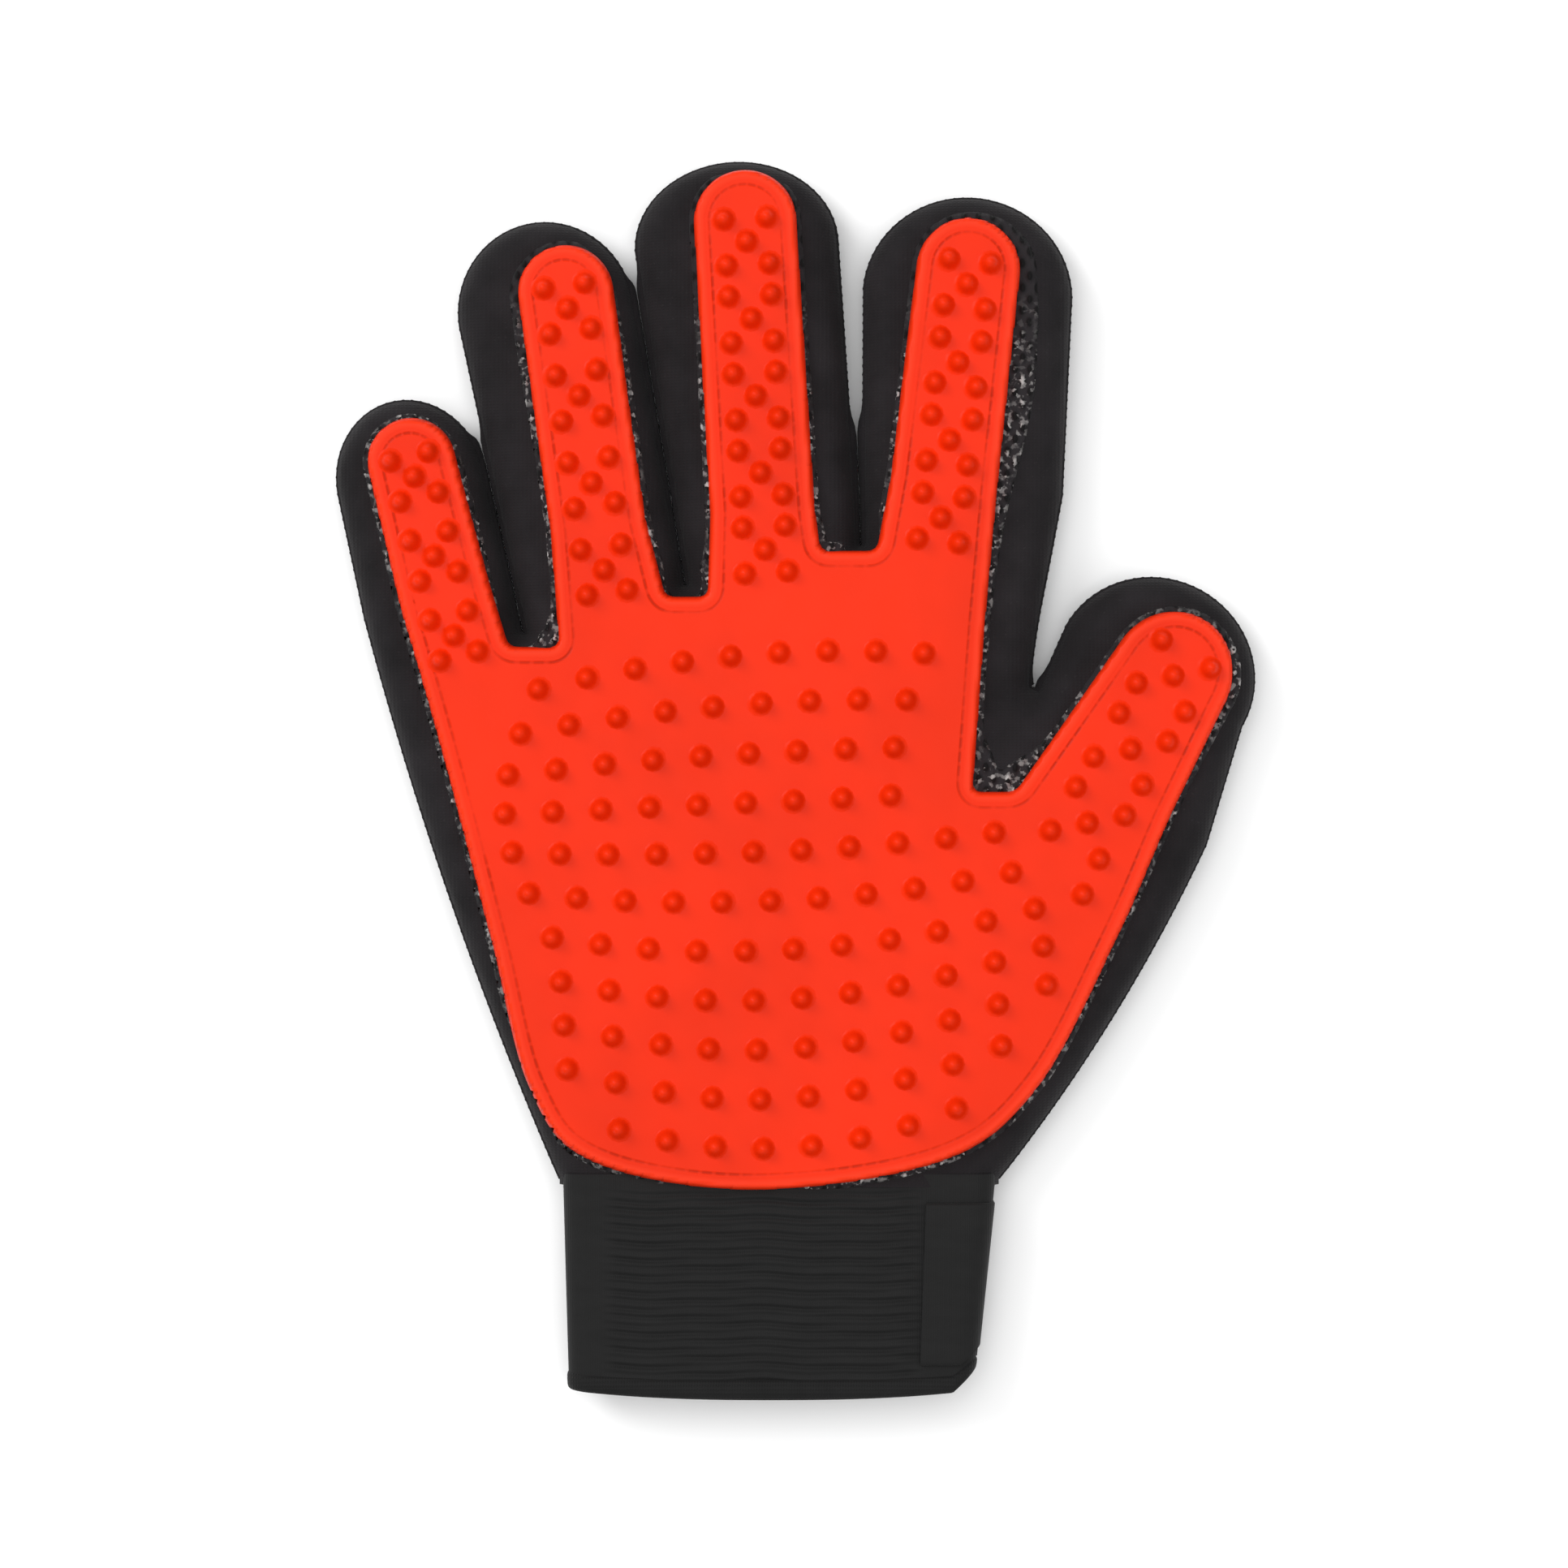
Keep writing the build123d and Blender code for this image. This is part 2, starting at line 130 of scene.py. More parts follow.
# Nubs of the palm: rows and columns, the first column and the pitch, the rows' drift and bow
# sideways, and the top and bottom rows' heights as the three terms of a parabola
NUB_ROWS, NUB_COLUMNS = 11, 14
NUB_START_X, NUB_PITCH = -47.5, 8.9
NUB_DRIFT, NUB_BOW, NUB_BOW_SHARE = 6.0, 8.0, 1.6
NUB_TOP_ROW, NUB_BOTTOM_ROW = (23.5, 0.04, -0.0022), (-67.93, 0.077, 0.0055)
NUB_EDGE_ROOM, NUB_APART = 7.4, 0.8 * NUB_PITCH


def length(name, about, default, low=0.0):
    """Property of a size in millimetres."""
    about = f"{about}, in millimetres"
    return bpy.props.FloatProperty(name=name, description=about, default=default, min=low)


def tint(name, about, default):
    """Property of a colour."""
    return bpy.props.FloatVectorProperty(
        name=name, description=about, subtype="COLOR", default=default, size=3)


class GloveSizes(bpy.types.PropertyGroup):
    """Sizes of the glove's surfaces, in millimetres."""

    cloth_step: length("Cloth spacing", "Spacing of the points of the cloth", 0.85, 0.4)
    pad_step: length("Pad spacing", "Spacing of the points of the pad", 0.75, 0.4)
    edge_round: length("Edge rounding", "How far in the cloth's round edge runs", 5.2, 1)
    seam_height: length("Side seam height", "Height of the outermost line of the cloth", 5.6)
    pad_round: length("Pad edge rounding", "Rounding of the pad's edge", 1.0, 0.2)
    teeth_pitch: length("Overlock pitch", "Distance between two overlock stitches", 1.6, 1)
    rib_pitch: length("Rib pitch", "Distance between two ribs of the cuff", 1.52, 0.5)
    rib_depth: length("Rib depth", "Height of the cuff's ribs", 0.5)


class GloveColours(bpy.types.PropertyGroup):
    """Colours of the glove's materials."""

    silicone: tint("Silicone", "Colour of the nubbed pad", (0.70, 0.022, 0.001))
    cloth: tint("Cloth", "Colour of the stretch cloth", (0.0088, 0.0075, 0.0084))
    fleck: tint("Mesh fleck", "Colour of the pale yarn behind the air mesh", (0.42, 0.40, 0.39))
    elastic: tint("Elastic", "Colour of the cuff's elastic", (0.0070, 0.0070, 0.0070))


def sizes():
    """The sizes that the panel shows."""
    return bpy.context.scene.glove_sizes


def colours():
    """The colours that the panel shows."""
    return bpy.context.scene.glove_colours


# ---------------------------------------------------------------- outlines


def axes(digit, skew=0.0):
    """Root knuckle of a digit and unit vectors along and across it, turned by a skew."""
    joint = JOINTS[f"{digit.name}_root_knuckle"]
    root = np.array(joint["pos_m"][:2]) * MM
    lean = np.arctan2(-joint["axis"][1], joint["axis"][0]) + radians(skew)
    return root, np.array([sin(lean), cos(lean)]), np.array([cos(lean), -sin(lean)])


def placed(digit, across, along):
    """Places given across and along a digit, in the glove's frame."""
    root, ahead, side = axes(digit)
    return root + np.outer(along, ahead) + np.outer(across, side)


def digit_loop(digit, left, right, tip, cap, start=0.0, count=48):
    """Left side of a digit from its root, half an ellipse over its tip and its right side."""
    shoulder = tip - cap
    middle = (right[1] - left[1]) / 2
    half = (right[1] + left[1]) / 2
    turn = np.linspace(pi, 0, count)
    first = left[0] + (left[1] - left[0]) * start / shoulder
    across = np.concatenate(([-first], middle + half * np.cos(turn), [right[0]]))
    along = np.concatenate(([start], shoulder + cap * np.sin(turn), [0]))
    return placed(digit, across, along)


def arc(first, through, last, count=40):
    """Circle arc through three places: the centre is where their perpendicular bisectors meet."""
    a, b, c = (np.array(p, float) for p in (first, through, last))
    matrix = 2 * np.array([b - a, c - a])
    centre = np.linalg.solve(matrix, [b @ b - a @ a, c @ c - a @ a])
    angles = np.unwrap([np.arctan2(*(p - centre)[::-1]) for p in (a, b, c)])
    turn = np.linspace(angles[0], angles[2], count)
    radius = np.hypot(*(a - centre))
    return centre + radius * np.column_stack((np.cos(turn), np.sin(turn)))


def smooth_through(points, count=12):
    """Catmull-Rom curve: each span is a cubic whose end slopes are half its neighbours' chord."""
    p = np.array(points, float)
    p = np.vstack((2 * p[0] - p[1], p, 2 * p[-1] - p[-2]))
    t = np.linspace(0, 1, count, endpoint=False)[None, :, None]
    a, b, c, d = (p[i:len(p) - 3 + i, None, :] for i in range(4))
    span = 0.5 * (2 * b + (c - a) * t + (2 * a - 5 * b + 4 * c - d) * t**2 + (3 * b - a - 3 * c + d) * t**3)
    return np.vstack((span.reshape(-1, 2), p[-2]))


def rounded(points, radius, count=6):
    """Polyline with each inner corner cut by a parabola that leaves a radius away from it."""
    p = np.array(points, float)
    before = p[:-2] - p[1:-1]
    after = p[2:] - p[1:-1]
    reach = np.minimum(radius, 0.45 * np.minimum(np.hypot(*before.T), np.hypot(*after.T)))[:, None]
    a = p[1:-1] + before / np.hypot(*before.T)[:, None] * reach
    c = p[1:-1] + after / np.hypot(*after.T)[:, None] * reach
    t = np.linspace(0, 1, count)[None, :, None]
    bends = a[:, None] * (1 - t) ** 2 + p[1:-1, None] * 2 * t * (1 - t) + c[:, None] * t**2
    return np.vstack((p[0], bends.reshape(-1, 2), p[-1]))


def cloth_outline():
    """Outline of the whole cloth, from the wrist up the little finger's side and round."""
    loops = [digit_loop(d, d.left, d.right, d.tip, d.cap) for d in DIGITS[:4]]
    thumb = DIGITS[4]
    loops.append(digit_loop(thumb, thumb.left, thumb.right, thumb.tip, thumb.cap, THUMB_START))
    half = FINGER_GAP / 2
    slots = [rounded([loops[i][-1], (x - half, y), (x + half, y), loops[i + 1][0]], CROTCH_CORNER)
             for i, (x, y) in enumerate(CROTCHES)]
    slots.append(rounded([loops[3][-1], *INDEX_SIDE, loops[4][0]], INDEX_SIDE_CORNER))
    parts = [arc(LEFT_SIDE[0], LEFT_SIDE[1], loops[0][0])]
    for loop, slot in zip(loops, slots + [None]):
        parts.append(loop)
        if slot is not None:
            parts.append(slot)
    parts.append(arc(loops[4][-1], RIGHT_SIDE[1], RIGHT_SIDE[0]))
    below = np.array([(RIGHT_SIDE[0][0], CLOTH_END_Y), (LEFT_SIDE[0][0], CLOTH_END_Y)])
    return dense(np.vstack(parts + [below]))


def pad_outline():
    """Outline of the whole silicone pad."""
    loops = [digit_loop(d, d.pad_left, d.pad_right, d.pad_tip, d.pad_cap) for d in DIGITS]
    parts = []
    for i, loop in enumerate(loops):
        parts.append(loop)
        if i < 4:
            parts.append(rounded([loop[-1], *PAD_CROTCHES[i], loops[i + 1][0]], PAD_CORNER))
    side = smooth_through([loops[0][0], *PAD_SIDE, loops[4][-1]])
    parts.append(side[::-1])
    return dense(np.vstack(parts))


def dense(points, longest=2.0):
    """Closed outline without doubled points and with no side longer than a limit."""
    following = np.roll(points, -1, axis=0)
    lengths = np.hypot(*(following - points).T)
    points, following, lengths = points[lengths > 1e-6], following[lengths > 1e-6], lengths[lengths > 1e-6]
    pieces = np.maximum(1, np.ceil(lengths / longest)).astype(int)
    index = np.repeat(np.arange(len(points)), pieces)
    first = np.repeat(np.cumsum(pieces) - pieces, pieces)
    share = (np.arange(pieces.sum()) - first) / pieces[index]
    return points[index] + (following[index] - points[index]) * share[:, None]


def edge_field(x, y, outline):
    """Signed distance to a closed outline, positive inside, and the run along it.

    The distance is to the nearest of its sides, whose projection is held between its ends. A
    place is inside where a line from it towards +X crosses the outline an odd number of times.
    """
    a, b = outline, np.roll(outline, -1, axis=0)
    side = b - a
    length2 = (side**2).sum(1)
    runs = np.concatenate(([0], np.cumsum(np.sqrt(length2))[:-1]))
    px, py = np.ravel(x), np.ravel(y)
    distance, run = np.empty(len(px)), np.empty(len(px))
    for low in range(0, len(px), 4000):
        qx, qy = px[low:low + 4000, None], py[low:low + 4000, None]
        dx, dy = qx - a[:, 0], qy - a[:, 1]
        share = np.clip((dx * side[:, 0] + dy * side[:, 1]) / length2, 0, 1)
        away = (dx - share * side[:, 0]) ** 2 + (dy - share * side[:, 1]) ** 2
        nearest = away.argmin(1)
        rows = np.arange(len(nearest))
        spans = (a[:, 1] > qy) != (b[:, 1] > qy)
        with np.errstate(divide="ignore", invalid="ignore"):
            crossing = a[:, 0] + (qy - a[:, 1]) / (b[:, 1] - a[:, 1]) * side[:, 0]
        inside = (spans & (qx < crossing)).sum(1) % 2 == 1
        distance[low:low + 4000] = np.sqrt(away[rows, nearest]) * np.where(inside, 1, -1)
        run[low:low + 4000] = runs[nearest] + share[rows, nearest] * np.sqrt(length2[nearest])
    return distance.reshape(np.shape(x)), run.reshape(np.shape(x))


CLOTH = cloth_outline()
PAD = pad_outline()


def cloth_field(x, y):
    """Distance inside the cloth's outline."""
    return edge_field(x, y, CLOTH)[0]


def pad_field(x, y):
    """Distance inside the pad's outline."""
    return edge_field(x, y, PAD)[0]


def swell(x, y, centre, width, height):
    """Round hill, e to the minus squared distance from a centre over two widths."""
    return np.exp(-(((x - centre[0]) / width) ** 2) - ((y - centre[1]) / height) ** 2)


def back_field(x, y):
    """Distance inside the back panel, drawn in from the cloth's outline."""
    return cloth_field(x, y) - PANEL_INSET


def palm_field(x, y):
    """Distance inside the air mesh: the pad grown by a margin, wider beside the index finger."""
    margin = MESH_MARGIN + sum(more * swell(x, y, *where) for more, *where in MESH_SWELLS)
    return np.minimum(pad_field(x, y) + margin, back_field(x, y))


def box_field(low, high, corner):
    """Distance inside a rectangle with round corners."""
    centre, half = (low + high) / 2, (high - low) / 2 - corner

    def field(x, y):
        qx, qy = np.abs(x - centre[0]) - half[0], np.abs(y - centre[1]) - half[1]
        outside = np.hypot(np.maximum(qx, 0), np.maximum(qy, 0))
        return corner - outside - np.minimum(np.maximum(qx, qy), 0)

    return field


# ---------------------------------------------------------------- surfaces

Patch = namedtuple("Patch", "x y turn inward cells rim")


def patch(field, low, high, step, reach, floor=-1e9):
    """Grid over a field, its rim on the field's zero line and a round band inside the rim.

    A cell stays where its corners' mean distance is positive. Rim points go down the field's
    slope to its zero line. In the band, a point at distance d goes to reach times one minus
    cos(turn), and turn is a right angle times d over reach, so a round edge has even steps.
    """
    count = np.ceil((high - low) / step).astype(int) + 1
    x, y = np.meshgrid(*(low[i] + step * np.arange(count[i]) for i in (0, 1)), indexing="ij")
    d = field(x, y)
    cells = (d[:-1, :-1] + d[1:, :-1] + d[:-1, 1:] + d[1:, 1:]) > 0
    cells &= y[:-1, :-1] > floor
    around = np.zeros(x.shape, int)
    for i in (0, 1):
        for j in (0, 1):
            around[i:i + cells.shape[0], j:j + cells.shape[1]] += cells
    rim = (around > 0) & (around < 4) & (np.abs(d) < 1.5 * step)
    gx, gy = np.gradient(d, step)
    size = np.maximum(np.hypot(gx, gy), 0.3)
    gx, gy = gx / size, gy / size
    rx, ry, small = x[rim], y[rim], 0.05
    for _ in range(4):
        now = field(rx, ry)
        sx = (field(rx + small, ry) - now) / small
        sy = (field(rx, ry + small) - now) / small
        steep = np.maximum(sx**2 + sy**2, 0.25)
        rx, ry = rx - now * sx / steep, ry - now * sy / steep
    x[rim], y[rim] = rx, ry
    gx[rim], gy[rim] = sx, sy
    d = np.where(rim, 0, np.maximum(d, 0.02))
    turn = pi / 2 * np.clip(d / reach, 0, 1)
    band = (around == 4) & (d < reach)
    shift = np.where(band, reach * (1 - np.cos(turn)) - d, 0)
    return Patch(x + shift * gx, y + shift * gy, turn, np.stack((gx, gy), -1), cells, rim)


def unevenness(x, y):
    """Gentle waves of the lying glove, sums of sines across it, and their slopes."""
    broad_x, broad_y, fine = x / 13 + 0.6, y / 17 + 0.4, (x + 0.7 * y) / 7.3
    wave = 0.28 * np.sin(broad_x) * np.sin(broad_y) + 0.12 * np.sin(fine)
    slope_x = 0.28 / 13 * np.cos(broad_x) * np.sin(broad_y) + 0.12 / 7.3 * np.cos(fine)
    slope_y = 0.28 / 17 * np.sin(broad_x) * np.cos(broad_y) + 0.12 * 0.7 / 7.3 * np.cos(fine)
    return wave, slope_x, slope_y


def sheet_points(part, foot, top, reach, wavy=1.0):
    """Points and normals of a patch as a height field.

    Height is foot plus (top minus foot) times sin(turn), plus the waves. The normal leans out
    of the rim by the same ellipse.
    """
    wave, slope_x, slope_y = unevenness(part.x, part.y)
    rise = np.sin(part.turn)
    z = foot + (top - foot) * rise + wavy * wave * rise
    fall = np.cos(part.turn) * abs(top - foot)
    level = reach * rise
    nx = -fall * part.inward[..., 0] - level * slope_x * wavy
    ny = -fall * part.inward[..., 1] - level * slope_y * wavy
    nz = np.sign(top - foot) * level
    normals = np.stack((nx, ny, nz), -1)
    normals /= np.maximum(np.linalg.norm(normals, axis=-1, keepdims=True), 1e-9)
    return np.stack((part.x, part.y, z), -1), normals


Shape = namedtuple("Shape", "points normals quads triangles")


def grid_quads(part, flipped=False):
    """Corner numbers of the kept cells of a patch, turned round where they face down."""
    number = np.arange(part.x.size).reshape(part.x.shape)
    corners = [number[:-1, :-1], number[1:, :-1], number[1:, 1:], number[:-1, 1:]]
    quads = np.stack([c[part.cells] for c in corners], -1)
    return quads[:, ::-1] if flipped else quads


def two_sided(part, seam, heights, reach, waves):
    """Upper and lower height fields that share a patch's rim: points, normals and quads."""
    sheets = [sheet_points(part, seam, height, reach, wavy) for height, wavy in zip(heights, waves)]
    points, normals = (np.vstack([sheet[i].reshape(-1, 3) for sheet in sheets]) for i in (0, 1))
    number = np.arange(part.x.size)
    shared = np.where(part.rim.ravel(), number, number + part.x.size)
    return points, normals, np.vstack((grid_quads(part), shared[grid_quads(part, True)]))


def gathered(points, normals, quads, triangles=None):
    """Shape with only the points that its faces use."""
    triangles = np.zeros((0, 3), int) if triangles is None else triangles
    used = np.unique(np.concatenate((quads.ravel(), triangles.ravel())))
    renumber = np.zeros(len(points), int)
    renumber[used] = np.arange(len(used))
    return Shape(points[used], normals[used], renumber[quads], renumber[triangles])


def joined(shapes):
    """Several shapes as one."""
    starts = np.cumsum([0] + [len(s.points) for s in shapes])
    return Shape(
        np.vstack([s.points for s in shapes]),
        np.vstack([s.normals for s in shapes]),
        np.vstack([s.quads + n for s, n in zip(shapes, starts)]),
        np.vstack([s.triangles + n for s, n in zip(shapes, starts)]),
    )


def turned_out(shape, faces):
    """Faces whose own normal, the cross product of two sides, agrees with their points' normals."""
    a, b, c = (shape.points[faces[:, i]] for i in (0, 1, -1))
    agree = (np.cross(b - a, c - a) * shape.normals[faces].sum(1)).sum(1)
    return np.where(agree[:, None] < 0, faces[:, ::-1], faces)


def put(name, shape, material, attributes=None):
    """Mesh object of a shape, smooth, with its own normals and a material."""
    shape = shape._replace(quads=turned_out(shape, shape.quads), triangles=turned_out(shape, shape.triangles))
    mesh = bpy.data.meshes.new(name)
    loops = np.concatenate((shape.quads.ravel(), shape.triangles.ravel())).astype(np.int32)
    totals = np.concatenate((np.full(len(shape.quads), 4), np.full(len(shape.triangles), 3)))
    mesh.vertices.add(len(shape.points))
    mesh.vertices.foreach_set("co", (shape.points / MM).astype(np.float32).ravel())
    mesh.loops.add(len(loops))
    mesh.loops.foreach_set("vertex_index", loops)
    mesh.polygons.add(len(totals))
    mesh.polygons.foreach_set("loop_start", (np.cumsum(totals) - totals).astype(np.int32))
    for key, values in (attributes or {}).items():
        layer = mesh.attributes.new(key, "FLOAT", "POINT")
        layer.data.foreach_set("value", values.astype(np.float32))
    mesh.update(calc_edges=True)
    mesh.validate()
    mesh.polygons.foreach_set("use_smooth", np.ones(len(mesh.polygons), bool))
    mesh.normals_split_custom_set_from_vertices(shape.normals.tolist())
    mesh.materials.append(material)
    piece = bpy.data.objects.new(name, mesh)
    bpy.context.scene.collection.objects.link(piece)
    return piece


# ---------------------------------------------------------------- segments

# Height of the line that a knuckle's bend is measured on, how far behind its root knuckle a
# digit's cloth may reach, and the distance to the edge that pieces standing on a layer are given
BEND_HEIGHT = 8.0
BEHIND_ROOT = -30
FAR_FROM_EDGE = 20.0


def owners(x, y):
    """Segment that each place belongs to: 0 the hand, then the knuckle and the end of each digit."""
    owner = np.zeros(np.shape(x), int)
    for number, digit in enumerate(DIGITS):
        root, ahead, side = axes(digit)
        dx, dy = x - root[0], y - root[1]
        along, across = dx * ahead[0] + dy * ahead[1], dx * side[0] + dy * side[1]
        share = along / (digit.tip - digit.cap)
        left = digit.left[0] + (digit.left[1] - digit.left[0]) * share + FINGER_GAP / 2
        right = digit.right[0] + (digit.right[1] - digit.right[0]) * share + FINGER_GAP / 2
        _, way, _ = axes(digit, digit.skew)
        bend = dx * way[0] + dy * way[1]
        here = (across > -left) & (across < right) & (bend > digit.blend[0]) & (along > BEHIND_ROOT)
        owner = np.where(here, np.where(bend < digit.blend[1], 2 * number + 1, 2 * number + 2), owner)
    return owner


def joints_of(number):
    """Name of a segment, the two bodies it bends between, its span and its node's name."""
    if number == 0:
        return "hand", None, None, "hand"
    digit = DIGITS[(number - 1) // 2]
    root, way, _ = axes(digit, digit.skew)
    first = 0 if number % 2 else 2
    span = [(*(root + way * digit.blend[first + i]) / MM, BEND_HEIGHT / MM) for i in (0, 1)]
    bodies = ("hand", f"{digit.name}_base") if number % 2 else (f"{digit.name}_base", f"{digit.name}_tip")
    label = f"{digit.name}_knuckle" if number % 2 else f"{digit.name}_end"
    return label, bodies, span, bodies[1]


def fasten(piece, number, layer):
    """Ride a piece of the hand with the hand's body, bake the place of any other piece into its mesh, and
    hide the segment's node that the piece stands for.
    """
    _, bodies, span, node = joints_of(number)
    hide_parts(f"{node}_{layer}")
    if bodies is None:
        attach(piece, "hand")
    else:
        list(bodies)
        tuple(span[0])
        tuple(span[1])
        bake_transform(piece)


def layer_pieces(layer, points, normals, quads, material, slot, extras=None, attributes=None):
    """One piece for each segment of a layer, with the extra shapes that stand on it."""
    points, normals = points.reshape(-1, 3), normals.reshape(-1, 3)
    centres = points[quads].mean(1)
    owner = owners(centres[:, 0], centres[:, 1])
    for number in range(2 * len(DIGITS) + 1):
        mine = quads[owner == number]
        shape = gathered(points, normals, mine)
        used = np.unique(mine)
        values = {key: v[used] for key, v in (attributes or {}).items()}
        added = extras(number) if extras else None
        if added is not None:
            shape = joined([shape, added])
            far = np.full(len(added.points), FAR_FROM_EDGE)
            values = {key: np.concatenate((v, far)) for key, v in values.items()}
        name = f"{joints_of(number)[0]}_{layer}_piece"
        fasten(put(name, shape, material, values), number, layer)


# ---------------------------------------------------------------- small repeated shapes


def spun(profile, count):
    """Points, normals, quads and triangles of a profile of (radius, height) turned about +Z.

    The last point of the profile closes over the axis with a fan.
    """
    radius, height = np.array(profile).T
    slope_r, slope_z = np.gradient(radius), np.gradient(height)
    turn = np.linspace(0, 2 * pi, count, endpoint=False)
    ring = np.stack((np.outer(radius, np.cos(turn)), np.outer(radius, np.sin(turn))), -1)
    points = np.concatenate((ring, np.repeat(height[:, None, None], count, 1)), -1).reshape(-1, 3)
    lean = np.stack((slope_z[:, None] * np.cos(turn), slope_z[:, None] * np.sin(turn),
                     np.repeat(-slope_r[:, None], count, 1)), -1).reshape(-1, 3)
    normals = lean / np.linalg.norm(lean, axis=1, keepdims=True)
    number = np.arange(len(radius) * count).reshape(len(radius), count)
    after = np.roll(number, -1, axis=1)
    quads = np.stack((number[:-1], after[:-1], after[1:], number[1:]), -1).reshape(-1, 4)
    points = np.vstack((points, (0, 0, height[-1] + 0.02)))
    normals = np.vstack((normals, (0, 0, 1)))
    fan = np.stack((number[-1], after[-1], np.full(count, len(points) - 1)), -1)
    return Shape(points, normals, quads, fan)


def copies(shape, origins, headings):
    """Copies of a shape at origins, turned about +Z so that its +X points along headings."""
    c, s = headings[:, 0, None], headings[:, 1, None]

    def turned(v):
        level = np.repeat(v[None, :, 2], len(c), 0)
        return np.stack((v[:, 0] * c - v[:, 1] * s, v[:, 0] * s + v[:, 1] * c, level), -1)

    points = turned(shape.points) + origins[:, None, :]
    offsets = (np.arange(len(origins)) * len(shape.points))[:, None, None]
    return Shape(
        points.reshape(-1, 3), turned(shape.normals).reshape(-1, 3),
        (shape.quads[None] + offsets).reshape(-1, 4), (shape.triangles[None] + offsets).reshape(-1, 3),
    )


def standing(shape, origins, headings, owner):
    """Function that gives the copies of a shape on a numbered segment, or nothing."""

    def extras(number):
        mine = owner == number
        return copies(shape, origins[mine], headings[mine]) if mine.any() else None

    return extras


NUB_PROFILE = [
    (2.8, -0.1), (2.25, 0.04), (1.85, 0.35), (1.58, 1.0), (1.28, 1.8), (0.92, 2.42), (0.5, 2.8), (0.18, 2.92),
]


def nub_places():
    """Centres of all nubs: groups of five on the digits and fanned rows on the palm.

    A row's height is a parabola across the palm, mixed between the top row's and the bottom's.
    """
    fingers, roots = [], []
    for digit in DIGITS:
        groups, first, pitch, width, length, shift = digit.nubs
        centre = first + pitch * np.arange(groups)[:, None]
        across = np.array([0, -1, -1, 1, 1]) * width / 2 + shift + 0 * centre
        along = np.array([0, -1, 1, -1, 1]) * length / 2 + centre
        spots = placed(digit, across.ravel(), along.ravel())
        fingers.append(spots)
        roots.append(spots[along.ravel() < 0])
    share, column = np.meshgrid(np.linspace(0, 1, NUB_ROWS), np.arange(NUB_COLUMNS), indexing="ij")
    bow = NUB_BOW * np.sin(pi * np.minimum(NUB_BOW_SHARE * share, 1))
    x = NUB_START_X + NUB_DRIFT * share - bow + column * NUB_PITCH
    top, bottom = (a + b * x + c * x**2 for a, b, c in (NUB_TOP_ROW, NUB_BOTTOM_ROW))
    palm = np.stack((x, top + (bottom - top) * share), -1).reshape(-1, 2)
    palm = palm[palm_room(palm) >= NUB_EDGE_ROOM]
    gaps = np.hypot(*(palm[:, None] - np.vstack(roots)[None]).transpose(2, 0, 1)).min(1)
    return np.vstack(fingers + [palm[gaps > NUB_APART]])


def palm_room(points):
    """Distance from places to the edge of the pad's part below the root knuckles."""
    lines = np.stack([(points - axes(d)[0]) @ axes(d)[1] for d in DIGITS])
    spread = np.stack([np.abs((points - axes(d)[0]) @ axes(d)[2]) for d in DIGITS])
    across = np.where(spread < 16, -lines, 99).min(0)
    return np.minimum(pad_field(points[:, 0], points[:, 1]), across)


# ---------------------------------------------------------------- materials


